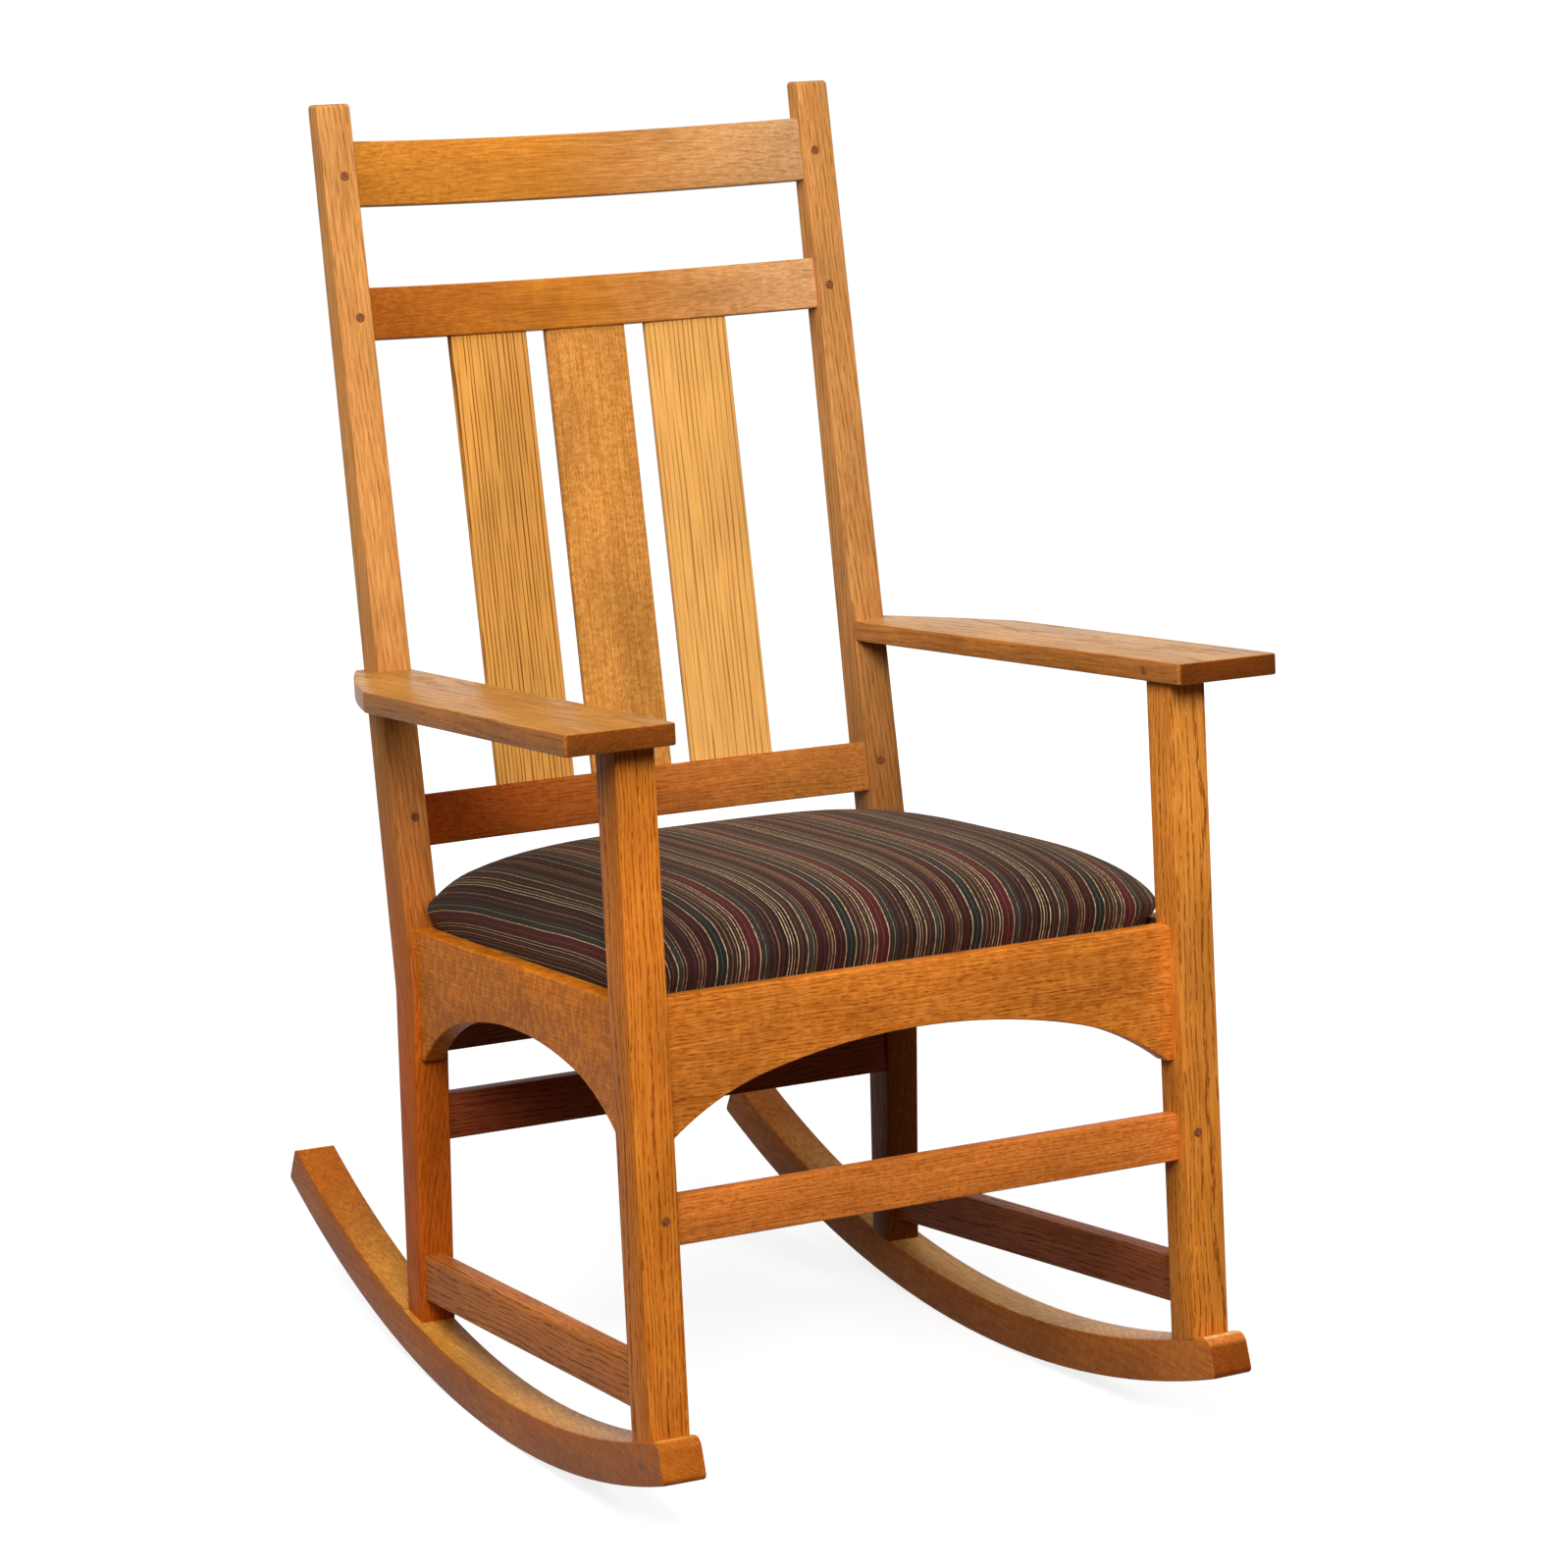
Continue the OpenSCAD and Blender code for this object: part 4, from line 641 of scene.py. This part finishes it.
def striped_cloth():
    """Worsted upholstery cloth, woven in warp stripes: matt, with fine ribs across it and a soft bloom
    at grazing angles. The ribs are 0.9 mm in truth and are drawn at 1.6 mm, so that they show."""
    material, tree, shader = fresh("striped worsted upholstery cloth")
    place = add(tree, "ShaderNodeUVMap", uv_map="cloth")
    axes = add(tree, "ShaderNodeSeparateXYZ", {"Vector": place.outputs["UV"]})
    wave = add(tree, "ShaderNodeTexNoise", {
        "Vector": place.outputs["UV"], "Scale": 1 / (SWAY_OVER * MM), "Detail": 1.0})
    sway = add(tree, "ShaderNodeMath", {0: wave.outputs["Fac"], 1: SWAY * MM, 2: axes.outputs["X"]},
               operation="MULTIPLY_ADD")
    counted = add(tree, "ShaderNodeMath", {
        0: sway.outputs["Value"], 1: 1 / (REPEAT * MM), 2: FIRST_STRIPE}, operation="MULTIPLY_ADD")
    turn = add(tree, "ShaderNodeMath", {0: counted.outputs["Value"]}, operation="FRACT")
    stops, at = [], 0.0
    for width, yarn in BANDS:
        stops.append((at / REPEAT, yarn))
        at += width
    bands = add(tree, "ShaderNodeValToRGB", {"Fac": turn.outputs["Value"]}, stops=stops,
                between="CONSTANT")
    cloth = bands.outputs["Color"]

    # Thin lines, whose yarn dips under the ribs every few millimetres
    drawn_out = add(tree, "ShaderNodeVectorMath", {
        0: place.outputs["UV"], 1: (1 / (4 * MM), 1 / (2.2 * MM), 0)}, operation="MULTIPLY")
    beat = add(tree, "ShaderNodeTexNoise", {
        "Vector": drawn_out.outputs["Vector"], "Scale": 1.0, "Detail": 0.0})
    floats = add(tree, "ShaderNodeMapRange", {
        "Value": beat.outputs["Fac"], "From Min": 0.3, "From Max": 0.6, "To Min": 0.4, "To Max": 0.85})
    for group in LINE_GROUPS:
        stops = [(0.0, group[0][2], 0.0)]
        for start, width, yarn in group:
            stops += [(start / REPEAT, yarn, 1.0), ((start + width) / REPEAT, yarn, 0.0)]
        lines = add(tree, "ShaderNodeValToRGB", {"Fac": turn.outputs["Value"]}, stops=stops,
                    between="CONSTANT")
        cover = add(tree, "ShaderNodeMath", {0: lines.outputs["Alpha"], 1: floats.outputs["Result"]},
                    operation="MULTIPLY")
        drawn = add(tree, "ShaderNodeMix", {
            0: cover.outputs["Value"], 6: cloth, 7: lines.outputs["Color"]}, data_type="RGBA")
        cloth = drawn.outputs[2]

    # The weave's hills, and the speckle of mixed wool
    rib = add(tree, "ShaderNodeMath", {0: axes.outputs["Y"], 1: 2 * math.pi / (RIB * MM)},
              operation="MULTIPLY")
    ribs = add(tree, "ShaderNodeMath", {0: rib.outputs["Value"]}, operation="SINE")
    end = add(tree, "ShaderNodeMath", {0: axes.outputs["X"], 1: 2 * math.pi / (END * MM)},
              operation="MULTIPLY")
    ends = add(tree, "ShaderNodeMath", {0: end.outputs["Value"]}, operation="SINE")
    weave = add(tree, "ShaderNodeMath", {0: ribs.outputs["Value"], 1: ends.outputs["Value"]},
                operation="MULTIPLY")
    stretched = add(tree, "ShaderNodeVectorMath", {
        0: place.outputs["UV"], 1: (1 / (1.8 * MM), 1 / (2.6 * MM), 0)}, operation="MULTIPLY")
    fuzz = add(tree, "ShaderNodeTexNoise", {
        "Vector": stretched.outputs["Vector"], "Scale": 1.0, "Detail": 3.0})
    speck = add(tree, "ShaderNodeMapRange", {
        "Value": fuzz.outputs["Fac"], "From Min": 0.3, "From Max": 0.7, "To Min": 0.68, "To Max": 1.32})
    woven = add(tree, "ShaderNodeMath", {0: weave.outputs["Value"], 1: 0.05, 2: speck.outputs["Result"]},
                operation="MULTIPLY_ADD")
    toned = add(tree, "ShaderNodeHueSaturation", {"Value": woven.outputs["Value"], "Color": cloth})
    tree.links.new(toned.outputs["Color"], shader.inputs["Base Color"])
    bump = add(tree, "ShaderNodeBump", {
        "Height": weave.outputs["Value"], "Strength": 0.5, "Distance": 0.25 * MM})
    tree.links.new(bump.outputs["Normal"], shader.inputs["Normal"])
    shader.inputs["Roughness"].default_value = 0.9
    shader.inputs["Specular IOR Level"].default_value = 0.1
    shader.inputs["Sheen Weight"].default_value = 0.12
    shader.inputs["Sheen Roughness"].default_value = 0.5
    shader.inputs["Sheen Tint"].default_value = linear("#C9A88C")
    return material


cushion = seat_cushion()
cushion.data.materials.append(striped_cloth())
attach(cushion, "root")
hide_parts("seat_cover", "seat_pad")


# Camera, from the photograph's perspective of the level chair

CAMERA_AT = (-1999.199, -3467.337, 1121.235)
CAMERA_YAW, CAMERA_PITCH, CAMERA_ROLL = 28.38598, -7.91080, -2.79307
FRAME_PIXELS, FOCAL_PIXELS, SENSOR = 1598, 5143.2516, 36.0


def photograph_camera():
    """The camera's place and turn relative to the level chair, carried over to the chair at rest."""
    yaw, pitch, roll = (math.radians(a) for a in (CAMERA_YAW, CAMERA_PITCH, CAMERA_ROLL))
    ahead = Vector((math.sin(yaw) * math.cos(pitch), math.cos(yaw) * math.cos(pitch), math.sin(pitch)))
    right = Vector((math.cos(yaw), -math.sin(yaw), 0.0))
    over = right.cross(ahead)
    turned_right = math.cos(roll) * right + math.sin(roll) * over
    turned_over = -math.sin(roll) * right + math.cos(roll) * over
    axes = [TILT @ turned_right, TILT @ turned_over, TILT @ -ahead]
    lens = bpy.data.cameras.new("camera")
    lens.sensor_fit = "HORIZONTAL"
    lens.sensor_width = SENSOR
    lens.lens = SENSOR * FOCAL_PIXELS / FRAME_PIXELS
    lens.clip_end = 100.0
    camera = bpy.data.objects.new("camera", lens)
    turned = Matrix(axes).transposed().to_4x4()
    camera.matrix_world = Matrix.Translation(at_rest(CAMERA_AT)) @ turned
    bpy.context.scene.collection.objects.link(camera)
    bpy.context.scene.camera = camera


photograph_camera()


# Studio: white paper floor and background, large soft lamps

FLOOR_HALF = 30.0
# The floor's glow is dimmer near the chair, so that its shadow shows, and whole from further out
DIM_GLOW, DIM_WITHIN, WHOLE_FROM = 0.84, 0.7, 1.6


def paper_floor():
    """Seamless studio paper, grey as the lamps see it. The camera sees it white but for a faint shadow
    near the chair, and so do glossy faces."""
    material, tree, shader = fresh("white studio paper")
    shader.inputs["Base Color"].default_value = linear("#4A4642")
    shader.inputs["Roughness"].default_value = 0.9
    shader.inputs["Specular IOR Level"].default_value = 0.1
    place = add(tree, "ShaderNodeTexCoord")
    away = add(tree, "ShaderNodeVectorMath", {0: place.outputs["Object"]}, operation="LENGTH")
    level = add(tree, "ShaderNodeMapRange", {
        "Value": away.outputs["Value"], "From Min": DIM_WITHIN, "From Max": WHOLE_FROM,
        "To Min": DIM_GLOW})
    glow = add(tree, "ShaderNodeEmission", {"Color": (1, 1, 1, 1), "Strength": level.outputs["Result"]})
    matt = add(tree, "ShaderNodeBsdfDiffuse", {"Color": (0.4, 0.4, 0.4, 1)})
    both = add(tree, "ShaderNodeAddShader", {0: glow.outputs["Emission"], 1: matt.outputs["BSDF"]})
    mix = add(tree, "ShaderNodeMixShader", {
        0: seen_white(tree), 1: shader.outputs["BSDF"], 2: both.outputs["Shader"]})
    output = next(n for n in tree.nodes if n.type == "OUTPUT_MATERIAL")
    tree.links.new(mix.outputs["Shader"], output.inputs["Surface"])
    mesh = bpy.data.meshes.new("studio_floor")
    r = FLOOR_HALF
    mesh.from_pydata([(-r, -r, 0), (r, -r, 0), (r, r, 0), (-r, r, 0)], [], [(0, 1, 2, 3)])
    floor = bpy.data.objects.new("studio_floor", mesh)
    bpy.context.scene.collection.objects.link(floor)
    floor.data.materials.append(material)


def seen_white(tree):
    """One for rays of the camera, of gloss and of glass, which see the background white."""
    path = add(tree, "ShaderNodeLightPath")
    seen = add(tree, "ShaderNodeMath", {
        0: path.outputs["Is Camera Ray"], 1: path.outputs["Is Glossy Ray"]}, operation="MAXIMUM")
    seen = add(tree, "ShaderNodeMath", {
        0: seen.outputs["Value"], 1: path.outputs["Is Transmission Ray"]}, operation="MAXIMUM")
    return seen.outputs["Value"]


LAMP_SIDE = 1.4
LAMP_AIM = Vector((0.0, 0.0, 0.5))
# Each lamp's place and watts
LAMPS = {
    "key_soft_box": ((-1.3, -2.6, 2.6), 94.0),
    "side_soft_box": ((-2.7, -0.8, 2.6), 26.0),
    "high_soft_box": ((-1.6, -0.4, 3.5), 46.0),
    "fill_soft_box": ((0.5, -2.5, 2.9), 38.0),
    "rear_soft_box": ((2.2, 0.3, 3.0), 18.0),
}


def soft_lamp(name, place, watts):
    """A square soft box that points at the chair's seat."""
    lamp = bpy.data.lights.new(name, "AREA")
    lamp.shape = "RECTANGLE"
    lamp.size, lamp.size_y = LAMP_SIDE, LAMP_SIDE
    lamp.energy = watts
    thing = bpy.data.objects.new(name, lamp)
    thing.location = place
    thing.rotation_euler = (LAMP_AIM - Vector(place)).to_track_quat("-Z", "Y").to_euler()
    bpy.context.scene.collection.objects.link(thing)


def studio_world():
    """A dim even sky for the chair, white behind it and in its reflections."""
    world = bpy.data.worlds.new("studio")
    bpy.context.scene.world = world
    world.use_nodes = True
    tree = world.node_tree
    tree.nodes.clear()
    sky = add(tree, "ShaderNodeBackground", {"Color": (1.0, 0.97, 0.92, 1), "Strength": 0.015})
    white = add(tree, "ShaderNodeBackground", {"Color": (1, 1, 1, 1), "Strength": 1.0})
    mix = add(tree, "ShaderNodeMixShader", {0: seen_white(tree), 1: sky.outputs["Background"],
                                            2: white.outputs["Background"]})
    add(tree, "ShaderNodeOutputWorld", {"Surface": mix.outputs["Shader"]})


paper_floor()
studio_world()
for name, (place, watts) in LAMPS.items():
    soft_lamp(name, place, watts)

bpy.context.scene.view_settings.view_transform = "Standard"
